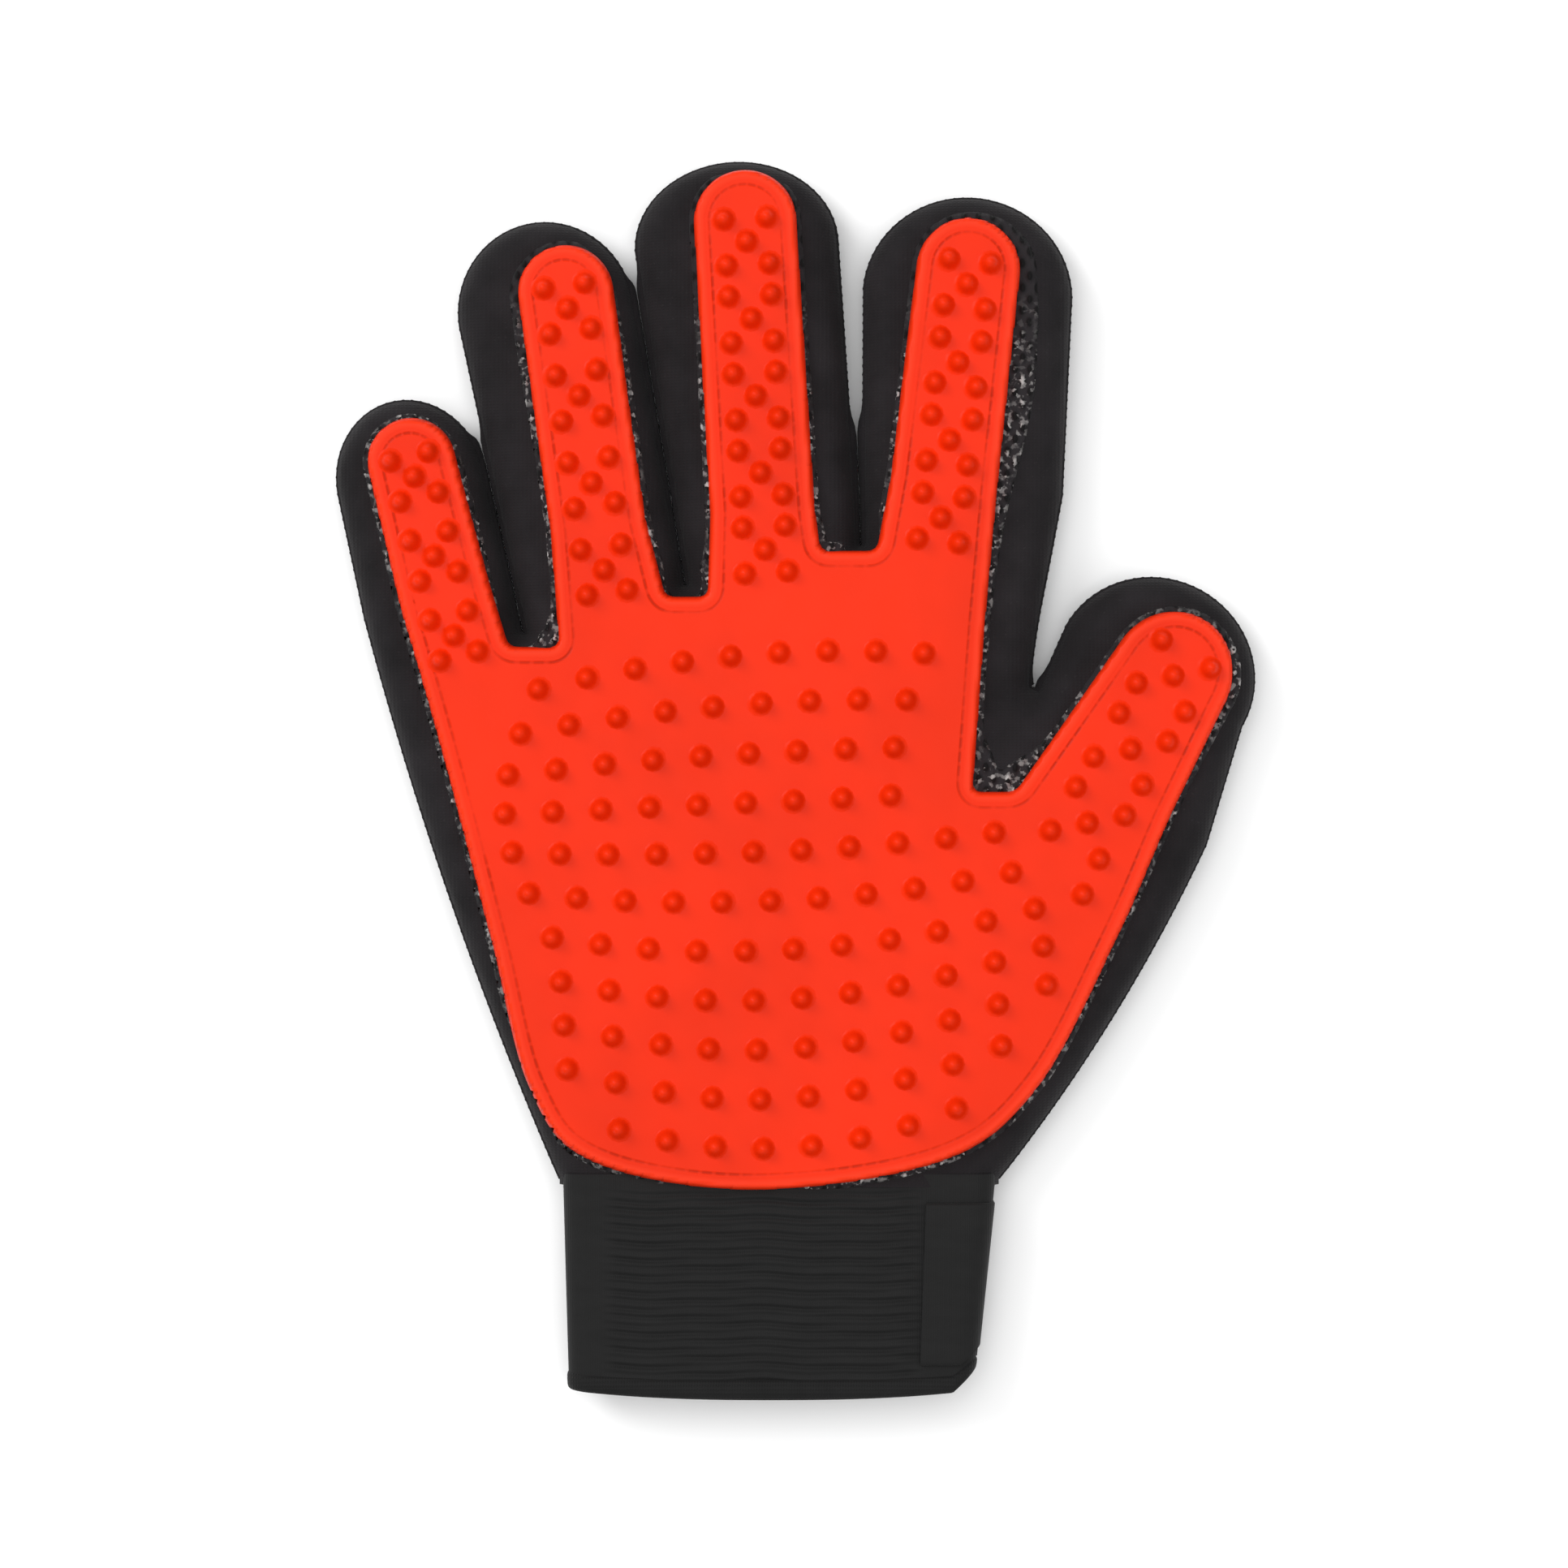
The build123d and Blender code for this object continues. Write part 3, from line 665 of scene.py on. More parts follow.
class Nodes:
    """Short hand for a material's node tree."""

    def __init__(self, name, colour, roughness, **settings):
        self.material = bpy.data.materials.new(name)
        self.material.use_nodes = True
        self.tree = self.material.node_tree
        self.shader = next(n for n in self.tree.nodes if n.type == "BSDF_PRINCIPLED")
        self.shader.inputs["Base Color"].default_value = (*colour, 1)
        self.shader.inputs["Roughness"].default_value = roughness
        for key, value in settings.items():
            self.shader.inputs[key.replace("_", " ")].default_value = value
        self.place = self.add("ShaderNodeTexCoord").outputs["Object"]

    def add(self, kind, inputs=None, **settings):
        """Node of a kind, its inputs linked to sockets or set to values."""
        node = self.tree.nodes.new(kind)
        for key, value in settings.items():
            setattr(node, key, value)
        for key, value in (inputs or {}).items():
            if isinstance(value, bpy.types.NodeSocket):
                self.tree.links.new(value, node.inputs[key])
            else:
                node.inputs[key].default_value = value
        return node

    def maths(self, operation, a, b=0.0, c=0.0):
        """Result of a sum on up to three numbers."""
        return self.add("ShaderNodeMath", {0: a, 1: b, 2: c}, operation=operation).outputs[0]

    def mapped(self, scale, turn=0.0):
        """The object's own place, stretched and turned about +Z."""
        inputs = {"Vector": self.place, "Scale": scale, "Rotation": (0, 0, turn)}
        return self.add("ShaderNodeMapping", inputs).outputs[0]

    def noise(self, size, detail=3.0, scale=(1, 1, 1)):
        """Noise whose features are about a size, in millimetres."""
        inputs = {"Vector": self.mapped(scale), "Scale": MM / size, "Detail": detail}
        return self.add("ShaderNodeTexNoise", inputs).outputs["Fac"]

    def wave(self, pitch, axis, warp=0.0, turn=0.0):
        """Waves of a pitch, in millimetres, along an axis of the object, turned about +Z."""
        size = MM / pitch / 20 * 2 * pi
        inputs = {"Vector": self.mapped((1, 1, 1), turn), "Scale": size, "Distortion": warp, "Detail": 1.0,
                  "Detail Scale": 1.0}
        return self.add("ShaderNodeTexWave", inputs, bands_direction=axis).outputs["Fac"]

    def ramp(self, value, stops):
        """Grey or colour that a value picks between stops."""
        node = self.add("ShaderNodeValToRGB", {"Fac": value})
        elements = node.color_ramp.elements
        while len(elements) < len(stops):
            elements.new(0.5)
        for element, (position, colour) in zip(elements, stops):
            element.position = position
            element.color = (*colour, 1) if np.ndim(colour) else (colour, colour, colour, 1)
        return node.outputs["Color"]

    def mix(self, share, a, b):
        """Colour between two colours, by a share."""
        a, b = (v if isinstance(v, bpy.types.NodeSocket) else (*v, 1) for v in (a, b))
        return self.add("ShaderNodeMix", {0: share, 6: a, 7: b}, data_type="RGBA").outputs[2]

    def mottle(self, value, base, *stops):
        """Colour that changes between shares of a base as a value rises."""
        return self.ramp(value, [(position, darker(base, share)) for position, share in stops])

    def bump(self, height, depth, strength=1.0, onto=None):
        """Bump of a height from 0 to 1 that stands for a depth in millimetres."""
        inputs = {"Height": height, "Distance": depth / MM, "Strength": strength}
        if onto is not None:
            inputs["Normal"] = onto
        return self.add("ShaderNodeBump", inputs).outputs["Normal"]

    def finish(self, colour=None, normal=None, roughness=None):
        """The material, with these linked to its shader."""
        for key, value in (("Base Color", colour), ("Normal", normal), ("Roughness", roughness)):
            if value is not None:
                self.tree.links.new(value, self.shader.inputs[key])
        return self.material


def darker(colour, share):
    """A colour multiplied by a share."""
    return tuple(c * share for c in colour)


# How far inside the pad's edge its groove and the middle of its rim lie, and the stitches' pitch
GROOVE_INSET, RIM_INSET, STITCH_PITCH = 3.0, 1.1, 2.6


def silicone():
    """Satin moulded silicone with a raised rim painted lighter as a painted highlight, a stitched groove
    inside it painted darker as painted shade, and a fine grain.
    """
    base = tuple(colours().silicone)
    m = Nodes("silicone_satin", base, 0.4, Specular_IOR_Level=0.09, Coat_Weight=0.02, Coat_Roughness=0.2)
    edge = m.add("ShaderNodeAttribute", attribute_name="edge").outputs["Fac"]
    run = m.add("ShaderNodeAttribute", attribute_name="run").outputs["Fac"]
    off_groove = m.maths("ABSOLUTE", m.maths("SUBTRACT", edge, GROOVE_INSET))
    groove = m.maths("SUBTRACT", 1.0, m.add(
        "ShaderNodeMapRange", {"Value": off_groove, "From Min": 0.04, "From Max": 0.36}).outputs[0])
    beat = m.maths("SINE", m.maths("MULTIPLY", run, 2 * pi / STITCH_PITCH))
    dash = m.add("ShaderNodeMapRange", {"Value": beat, "From Min": -0.9, "From Max": -0.3}).outputs[0]
    worn = m.ramp(m.noise(14.0, 2.0), [(0.36, 0.25), (0.6, 1.0)])
    # The groove's mask cuts the groove into the bump and also paints it darker: painted shade in the groove
    groove_and_shade = m.maths("MULTIPLY", m.maths("MULTIPLY", groove, worn), m.maths("MULTIPLY_ADD", dash, 0.5, 0.5))
    off_rim = m.maths("ABSOLUTE", m.maths("SUBTRACT", edge, RIM_INSET))
    rim = m.maths("SUBTRACT", 1.0, m.add(
        "ShaderNodeMapRange", {"Value": off_rim, "From Min": 0.3, "From Max": 1.1}).outputs[0])
    grain = m.noise(0.7, 4.0)
    patchy = m.mottle(m.noise(22.0, 3.0), base, (0.3, 0.93), (0.7, 1.05))
    # Painted highlight: the rim is painted a lighter pink along the pad's edge
    lit = m.mix(m.maths("MULTIPLY", rim, 0.3), patchy, (0.86, 0.055, 0.018))
    # Painted shade: the groove is painted darker than the base
    colour = m.mix(m.maths("MULTIPLY", groove_and_shade, 0.75), lit, darker(base, 0.5))
    profile = m.maths("SUBTRACT", m.maths("MULTIPLY", rim, 0.5), groove_and_shade)
    normal = m.bump(m.maths("MULTIPLY_ADD", profile, 0.5, 0.5), 0.3, 1.0, m.bump(grain, 0.04, 0.4))
    shine = m.maths("MULTIPLY_ADD", m.noise(5.0, 2.0), 0.12, 0.36)
    return m.finish(colour, normal, shine)


def stretch_cloth():
    """Matt knitted stretch cloth: fine courses and wales, soft creases and a little lint."""
    base = tuple(colours().cloth)
    m = Nodes("stretch_cloth_matt", base, 0.85, Sheen_Weight=0.03, Sheen_Roughness=0.5,
              Specular_IOR_Level=0.16)
    knit = m.maths("MULTIPLY", m.wave(0.75, "X", 0.6), m.wave(0.55, "Y", 0.5))
    creases = m.noise(6.0, 4.0, (1, 0.55, 1))
    tone = m.mottle(m.noise(9.0, 5.0), base, (0.3, 0.75), (0.72, 1.55))
    lint = m.ramp(m.noise(0.6, 2.0), [(0.66, 0.0), (0.8, 1.0)])
    colour = m.mix(m.maths("MULTIPLY", lint, 0.05), tone, (0.16, 0.15, 0.15))
    normal = m.bump(creases, 0.9, 0.5, m.bump(knit, 0.1, 0.6))
    return m.finish(colour, normal)


def air_mesh(name, flecked):
    """Black knitted air mesh with rows of diamond holes painted darker as painted shade, through which a pale
    yarn can show.
    """
    base = tuple(colours().cloth)
    m = Nodes(name, base, 0.8, Sheen_Weight=0.03, Specular_IOR_Level=0.18)
    holes = m.maths("MULTIPLY", m.wave(2.3, "X", 0.8, radians(32)), m.wave(2.3, "X", 0.8, radians(-32)))
    open_ = m.ramp(holes, [(0.30, 0.0), (0.62, 1.0)])
    yarn = m.noise(0.35, 2.0)
    normal = m.bump(holes, 0.7, 0.9, m.bump(yarn, 0.15, 0.6))
    # Painted shade: the holes are painted darker than the yarn round them
    dark = m.mix(open_, darker(base, 1.7), darker(base, 0.35))
    if not flecked:
        return m.finish(dark, normal)
    specks = m.ramp(m.noise(1.15, 3.0), [(0.525, 0.0), (0.605, 1.0)])
    shown = m.maths("MULTIPLY", specks, m.ramp(m.noise(4.5, 2.0), [(0.38, 0.22), (0.52, 1.0)]))
    height = m.add("ShaderNodeSeparateXYZ", {"Vector": m.place}).outputs["Y"]
    below = m.add("ShaderNodeMapRange", {
        "Value": height, "From Min": 0.090, "From Max": 0.076}).outputs[0]
    pale = m.maths("MULTIPLY", m.maths("MULTIPLY", m.maths("MULTIPLY_ADD", open_, 0.6, 0.4), shown), below)
    colour = m.mix(m.maths("MULTIPLY", pale, 0.9), dark, tuple(colours().fleck))
    return m.finish(colour, normal)


def ribbed_elastic():
    """Black elastic: fine threads along the ribs and random streaks of paler and darker tone."""
    base = tuple(colours().elastic)
    m = Nodes("ribbed_elastic", base, 0.75, Sheen_Weight=0.03, Specular_IOR_Level=0.2)
    threads = m.wave(0.42, "X", 1.0)
    tone = m.mottle(m.noise(2.4, 3.0, (0.3, 1, 1)), base, (0.3, 0.85), (0.75, 1.15))
    normal = m.bump(threads, 0.06, 0.5, m.bump(m.noise(0.5, 3.0, (0.4, 1, 1)), 0.05, 0.4))
    return m.finish(tone, normal)


def woven(name, share, warp, weft, depth):
    """Black woven tape: warp and weft threads across each other, with a soft change of tone."""
    base = darker(tuple(colours().elastic), share)
    m = Nodes(name, base, 0.75, Sheen_Weight=0.03, Specular_IOR_Level=0.2)
    weave = m.maths("MULTIPLY", m.wave(warp, "X", 0.3), m.wave(weft, "Y", 0.3))
    tone = m.mottle(m.noise(4.0, 4.0), base, (0.3, 0.85), (0.7, 1.2))
    return m.finish(tone, m.bump(weave, depth, 0.8))


def pile(name, share, size, depth, rough):
    """Hook or loop pile: small raised cells, painted lighter in their middles as a painted highlight and
    darker between them as painted shade.
    """
    base = darker(tuple(colours().elastic), share)
    m = Nodes(name, base, rough, Specular_IOR_Level=0.4)
    cells = m.add("ShaderNodeTexVoronoi", {"Vector": m.place, "Scale": MM / size}).outputs["Distance"]
    # Painted highlight in the cells' middles and painted shade between them
    tone = m.mottle(cells, base, (0.1, 1.8), (0.8, 0.5))
    return m.finish(tone, m.bump(cells, depth, 0.9, m.bump(m.noise(0.3, 3.0), 0.1, 0.5)))


def moulded_tab():
    """Matt black rubber tab with cross grooves for the fingertips."""
    base = darker(tuple(colours().elastic), 1.1)
    m = Nodes("moulded_tab_rubber", base, 0.55, Specular_IOR_Level=0.45)
    normal = m.bump(m.wave(1.8, "X"), 0.3, 0.8, m.bump(m.noise(0.4, 3.0), 0.04, 0.6))
    return m.finish(m.mottle(m.noise(3.0, 3.0), base, (0.3, 0.8), (0.7, 1.3)), normal)


# ---------------------------------------------------------------- operators

# Corners of the grids, the lowest and highest levels of the layers, the waves that are left on
# the underside, and how far down the outline the stitches and the bulge go
LOW, HIGH = np.array([-88.0, -75.6]), np.array([90.0, 118.0])
FLOOR_Y = LOW[1] - 0.1
CLOTH_FOOT, UNDER_WAVES = 0.45, 0.15
STITCH_END_Y, BULGE_END_Y = -73, -74.5
CLOTH_TOP = node_box("hand_mesh")[0][2] + 1.2
PAD_TOP = node_box("thumb_base_back")[0][2] + 14.8


class BuildCloth(bpy.types.Operator):
    """Stretch cloth round the sides of the hand and digits, with its overlocked outline."""

    bl_idname = "glove.cloth"
    bl_label = "Gusset cloth"

    def execute(self, context):
        """Upper and lower height fields that meet at the outline, and a bead for each stitch."""
        reach, seam = sizes().edge_round, sizes().seam_height
        part = patch(cloth_field, LOW, HIGH, sizes().cloth_step, reach, FLOOR_Y)
        sheet = two_sided(part, seam, (CLOTH_TOP, CLOTH_FOOT), reach, (1.0, UNDER_WAVES))
        beads, bulge = self.stitches(seam), self.bulge(seam)

        def extras(number):
            found = [shape for shape in (beads(number), bulge(number)) if shape is not None]
            return joined(found) if found else None

        layer_pieces("side", *sheet, stretch_cloth(), "gusset_cloth", extras)
        return {"FINISHED"}

    def bulge(self, seam):
        """Low bulge along the outline that nearly reaches the next digit where two lie together.

        Its width at a place is half the way straight out to the cloth across the gap, less a
        little, where that is short, and a fixed small width elsewhere, evened along the run.
        """
        ahead = np.roll(CLOTH, -1, axis=0) - np.roll(CLOTH, 1, axis=0)
        ahead /= np.hypot(*ahead.T)[:, None]
        outward = np.stack((-ahead[:, 1], ahead[:, 0]), -1)
        reach = np.arange(0.3, 3.0, 0.1)
        close, slim, widest = 2.7, 0.2, 1.3
        probes = CLOTH[:, None] + outward[:, None] * reach[None, :, None]
        meets = cloth_field(probes[..., 0], probes[..., 1]) > 0
        gap = np.where(meets.any(1), reach[meets.argmax(1)], 99)
        width = np.where(gap < close, gap / 2 - 0.09, slim)
        width = (np.roll(width, 1) + np.roll(width, -1) + np.minimum(width, widest) * 2) / 4
        width = np.minimum(width, np.where(gap < close, gap / 2 - 0.07, 99))
        profile = np.array([(-0.55, 1.9, 60), (0.55, 1.5, 45), (0.9, 0.75, 20), (1.0, 0.0, 0),
                            (0.9, -0.75, -20), (0.55, -1.4, -45), (-0.55, -1.7, -60)])
        out = np.where(profile[:, 0] < 0, profile[:, 0], profile[:, 0] * width[:, None])
        places = CLOTH[:, None] + outward[:, None] * out[..., None]
        points = np.concatenate((places, np.broadcast_to(seam + profile[:, 1], out.shape)[..., None]), -1)
        tilt = np.radians(profile[:, 2])
        normals = np.concatenate((outward[:, None] * np.cos(tilt)[None, :, None],
                                  np.broadcast_to(np.sin(tilt), out.shape)[..., None]), -1)
        number = np.arange(out.size).reshape(out.shape)
        after = np.roll(number, -1, axis=0)
        quads = np.stack((number[:, :-1], after[:, :-1], after[:, 1:], number[:, 1:]), -1).reshape(-1, 4)
        points, normals = points.reshape(-1, 3), normals.reshape(-1, 3)
        keep = points[quads].mean(1)[:, 1] > BULGE_END_Y
        owner = np.repeat(owners(*(CLOTH - outward).T), len(profile) - 1)[keep]
        quads = quads[keep]

        def extras(number):
            mine = quads[owner == number]
            return gathered(points, normals, mine) if len(mine) else None

        return extras

    def stitches(self, seam):
        """Overlock stitches: low beads over the outline at an even pitch along it."""
        following = np.roll(CLOTH, -1, axis=0)
        lengths = np.hypot(*(following - CLOTH).T)
        run = np.concatenate(([0], np.cumsum(lengths)))
        spots = np.arange(0, run[-1], sizes().teeth_pitch)
        index = np.clip(np.searchsorted(run, spots, side="right") - 1, 0, len(CLOTH) - 1)
        share = ((spots - run[index]) / lengths[index])[:, None]
        places = CLOTH[index] + (following[index] - CLOTH[index]) * share
        ahead = (following[index] - CLOTH[index]) / lengths[index][:, None]
        outward = np.stack((-ahead[:, 1], ahead[:, 0]), -1)
        bead = spun([(1.0, -0.75), (1.0, -0.1), (0.92, 0.35), (0.6, 0.65), (0.2, 0.75)], 8)
        bead = bead._replace(points=bead.points * (0.32, 0.5, 1.3))
        keep = places[:, 1] > STITCH_END_Y
        origins = np.column_stack((places - outward * 0.02, np.full(len(places), seam + 0.3)))[keep]
        return standing(bead, origins, outward[keep], owners(*(places - outward).T)[keep])


class BuildPalmMesh(bpy.types.Operator):
    """Air mesh panel of the palm, seen round the edge of the pad."""

    bl_idname = "glove.palm_mesh"
    bl_label = "Palm mesh"

    def execute(self, context):
        """Height field a little above the cloth's own."""
        part = patch(palm_field, LOW, HIGH, sizes().cloth_step, 0.9, FLOOR_Y)
        inner = np.clip(cloth_field(part.x, part.y) / sizes().edge_round, 0, 1)
        top = sizes().seam_height + (CLOTH_TOP - sizes().seam_height) * np.sqrt(1 - (1 - inner) ** 2)
        points, normals = sheet_points(part, 0, 0.42, 0.9, 0)
        wave, slope_x, slope_y = unevenness(part.x, part.y)
        rise = np.sqrt(1 - (1 - inner) ** 2)
        points[..., 2] += top + wave * rise - 0.05
        normals[..., 0] -= slope_x
        normals[..., 1] -= slope_y
        layer_pieces("mesh", points, normals, grid_quads(part), air_mesh("palm_air_mesh", True), "palm_mesh")
        return {"FINISHED"}


class BuildBackPanel(bpy.types.Operator):
    """Mesh panel of the back, which the glove lies on."""

    bl_idname = "glove.back_panel"
    bl_label = "Back panel"

    def execute(self, context):
        """Height field that faces down, a little below the cloth's own."""
        part = patch(back_field, LOW, HIGH, sizes().cloth_step, 1.4, FLOOR_Y)
        points, normals = sheet_points(part, 0.75, 0.02, 1.4, 0)
        quads = grid_quads(part, True)
        layer_pieces("back", points, normals, quads, air_mesh("back_air_mesh", False), "back_mesh")
        return {"FINISHED"}


class BuildPad(bpy.types.Operator):
    """Nubbed silicone pad of the palm and the digits."""

    bl_idname = "glove.pad"
    bl_label = "Silicone pad"

    def execute(self, context):
        """Height field with a round edge, and a spun nub at each place."""
        reach = sizes().pad_round
        part = patch(pad_field, LOW - (0, 3), HIGH, sizes().pad_step, reach)
        points, normals = sheet_points(part, CLOTH_TOP - 0.1, PAD_TOP, reach)
        edge, run = edge_field(part.x, part.y, PAD)
        spots = nub_places()
        wave = unevenness(spots[:, 0], spots[:, 1])[0]
        nub = spun(NUB_PROFILE, 12)
        origins = np.column_stack((spots, PAD_TOP + wave))
        straight = np.tile((1.0, 0.0), (len(spots), 1))
        nubs = standing(nub, origins, straight, owners(*spots.T))
        layer_pieces("pad", points, normals, grid_quads(part), silicone(), "silicone", nubs,
                     {"edge": edge.ravel(), "run": run.ravel()})
        return {"FINISHED"}


def section_ring(half_width, half_height, corner, count):
    """Points and normals round a rectangle with round corners, evenly spaced by length.

    The ring starts in the middle of the right side and runs by the top to the left. A point is
    the centre of its corner's circle plus the radius times the normal, and along the ring the
    centre and the normal's angle change in even steps, each while the other rests.
    """
    flat_x, flat_z, quarter = half_width - corner, half_height - corner, corner * pi / 2
    spans = [flat_z, quarter, 2 * flat_x, quarter, 2 * flat_z, quarter, 2 * flat_x, quarter, flat_z]
    ends = np.cumsum([0] + spans)
    run = np.linspace(0, ends[-1], count, endpoint=False)
    angle = np.radians(np.interp(run, ends, [0, 0, 90, 90, 180, 180, 270, 270, 360, 360]))
    x = np.interp(run, ends, flat_x * np.array([1, 1, 1, -1, -1, -1, -1, 1, 1, 1]))
    z = np.interp(run, ends, flat_z * np.array([0, 1, 1, 1, 1, -1, -1, -1, -1, 0]))
    normal = np.column_stack((np.cos(angle), np.sin(angle)))
    return np.column_stack((x, z)) + corner * normal, normal


# The cuff's upper end and length, the middle and half width of its two ends, the corner of its
# section, the sleeve's and the lining's ends and spacing, and the ribs' ends across it
CUFF_TOP_Y, CUFF_RUN = -74.5, 40.5
CUFF_MIDDLE, CUFF_HALF = (-3.0, -4.4), (40.2, 37.7)
CUFF_CORNER, LINING_LIFT = 4.0, -1.5
SLEEVE_ROWS, LINING_ROWS = np.arange(-73.2, -112.4, -0.24), np.arange(-73.2, -114.3, -1.0)
RIB_LEFT, RIB_RIGHT, RIB_TOP, RIB_FADE = -36, 24, -75.5, 3
HEM_Y, HEM_HALF_WIDTH, HEM_LIFT, HEM_HALF_THICK = -113.2, 1.9, -0.65, 0.95


def cuff_heights():
    """Middle height and half height of the cuff's sleeve."""
    low, high = node_box("cuff_back_elastic")[0][2], node_box("cuff_palm_elastic")[1][2]
    return (low + high) / 2, (high - low) / 2


def cuff_grid(y, lift, count=260):
    """Sleeve surface at rows of y, grown by a lift: the section narrows evenly to the end."""
    z_mid, half_height = cuff_heights()
    rows = []
    turns = []
    for place in y:
        share = (CUFF_TOP_Y - place) / CUFF_RUN
        half = CUFF_HALF[0] + (CUFF_HALF[1] - CUFF_HALF[0]) * share
        ring, normal = section_ring(half, half_height, CUFF_CORNER, count)
        middle = CUFF_MIDDLE[0] + (CUFF_MIDDLE[1] - CUFF_MIDDLE[0]) * share
        rows.append(ring + normal * lift + (middle, 0))
        turns.append(normal)
    ring, normal = np.array(rows), np.array(turns)
    x, z = ring[..., 0], z_mid + ring[..., 1]
    aside = np.abs(x - CUFF_MIDDLE[1]) / CUFF_HALF[1]
    bow = 1.8 * aside**2.5 + 3.4 * np.clip((x - 29.2) / 4.2, 0, 1)
    rows_y = y[:, None] + bow * np.clip((CUFF_TOP_Y - y[:, None]) / CUFF_RUN, 0, 1) ** 3
    return np.stack((x, rows_y, z), -1), np.stack((normal[..., 0], 0 * x, normal[..., 1]), -1)


def closed_quads(rows, count):
    """Quads of a grid that closes round on itself across its columns."""
    number = np.arange(rows * count).reshape(rows, count)
    after = np.roll(number, -1, axis=1)
    return np.stack((number[:-1], number[1:], after[1:], after[:-1]), -1)


class BuildCuff(bpy.types.Operator):
    """Ribbed elastic cuff in its palm and back halves, and its hem."""

    bl_idname = "glove.cuff"
    bl_label = "Elastic cuff"

    def execute(self, context):
        """Sleeve whose ribs are cosine waves along it, faded out beside both edges."""
        y = SLEEVE_ROWS
        points, normals = cuff_grid(y, 0)
        x = points[..., 0]
        wander = 0.22 * np.sin(x / 5.1) + 0.12 * np.sin(x / 2.3 + 1)
        ribs = np.cos(2 * pi * (points[..., 1] + wander) / sizes().rib_pitch)
        fade = np.clip((x - RIB_LEFT) / RIB_FADE, 0, 1) * np.clip((RIB_RIGHT - x) / RIB_FADE, 0, 1)
        fade *= np.clip((RIB_TOP - y[:, None]) / 2, 0, 1)
        fade *= np.abs(normals[..., 2]) * (0.72 + 0.28 * np.sin(x / 6.1 + 1.9 * y[:, None]))
        points += normals * (sizes().rib_depth * 0.5 * (ribs - 1) * fade)[..., None]
        slope = np.gradient(points[..., 2], axis=0) / np.gradient(points[..., 1], axis=0)
        bent = normals.copy()
        bent[..., 1] -= slope * np.abs(normals[..., 2]) * np.sign(normals[..., 2])
        bent /= np.linalg.norm(bent, axis=-1, keepdims=True)
        inner, inner_normals = cuff_grid(LINING_ROWS, LINING_LIFT)
        elastic = ribbed_elastic()
        quads, lining = closed_quads(*points.shape[:2]), closed_quads(*inner.shape[:2])
        middle = cuff_heights()[0]
        for name, side in (("cuff_palm", 1), ("cuff_back", -1)):
            outer_keep = quads.reshape(-1, 4)
            flat, flat_inner = points.reshape(-1, 3), inner.reshape(-1, 3)
            outer_keep = outer_keep[(flat[outer_keep].mean(1)[:, 2] - middle) * side > 0]
            inner_keep = lining.reshape(-1, 4)[:, ::-1]
            inner_keep = inner_keep[(flat_inner[inner_keep].mean(1)[:, 2] - middle) * side > 0]
            shape = joined([gathered(flat, bent.reshape(-1, 3), outer_keep),
                            gathered(flat_inner, -inner_normals.reshape(-1, 3), inner_keep)])
            piece = put(f"{name}_sleeve", shape, elastic)
            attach(piece, "hand")
            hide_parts(f"{name}_elastic")
        self.hem()
        return {"FINISHED"}

    def hem(self):
        """Binding folded over the end: a flat round section carried round the sleeve."""
        turn = np.linspace(0, 2 * pi, 20, endpoint=False)
        along = HEM_Y + HEM_HALF_WIDTH * np.sign(np.cos(turn)) * np.abs(np.cos(turn)) ** 0.6
        lifts = HEM_LIFT + HEM_HALF_THICK * np.sign(np.sin(turn)) * np.abs(np.sin(turn)) ** 0.6
        points, normals = [], []
        for place, lift, angle in zip(along, lifts, turn):
            row, out = cuff_grid(np.array([place]), lift)
            points.append(row[0])
            normals.append(out[0] * sin(angle) + np.array((0, 1, 0)) * cos(angle))
        points, normals = np.array(points), np.array(normals)
        quads = closed_quads(len(points) + 1, points.shape[1]) % (len(points) * points.shape[1])
        shape = gathered(points.reshape(-1, 3), normals.reshape(-1, 3), quads.reshape(-1, 4)[:, ::-1])
        piece = put("cuff_hem_binding", shape, woven("hem_binding_twill", 0.8, 0.5, 0.7, 0.12))
        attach(piece, "hand")
        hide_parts("cuff_hem")


# Where the strap's side begins to lean, by how much for each millimetre down, and from where
# across the cuff, and the middle of the strap's width
SLANT_TOP_Y, SLANT, SLANT_FROM_X, SLANT_BLEND = -78.5, 0.105, 20, 12
STRAP_Y = -93.5


def slanted(points):
    """Points near the strap's fold moved in by a share of their distance down the cuff's side."""
    down = np.clip(SLANT_TOP_Y - points[..., 1], 0, 40)
    points[..., 0] -= SLANT * down * np.clip((points[..., 0] - SLANT_FROM_X) / SLANT_BLEND, 0, 1)
    return points


def slab(name, node, corner, step, material, body, rounding=0.45, slant=False):
    """Flat strip in a node's box: upper and lower height fields over a round rectangle."""
    low, high = node_box(node)
    part = patch(box_field(low[:2], high[:2], corner), low[:2] - step, high[:2] + step, step, rounding)
    shape = gathered(*two_sided(part, (low[2] + high[2]) / 2, (high[2], low[2]), rounding, (0, 0)))
    if slant:
        shape = shape._replace(points=slanted(shape.points))
    piece = put(name, shape, material)
    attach(piece, body)
    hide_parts(node)


class BuildTapes(bpy.types.Operator):
    """Seam tapes that join the cuff to the hand."""

    bl_idname = "glove.tapes"
    bl_label = "Seam tapes"

    def execute(self, context):
        """Two flat woven strips."""
        tape = woven("seam_tape_twill", 1.0, 0.6, 0.6, 0.15)
        for name in ("wrist_seam_palm", "wrist_seam_back"):
            slab(f"{name}_tape", name, 0.5, 0.6, tape, "hand", 0.35)
        return {"FINISHED"}


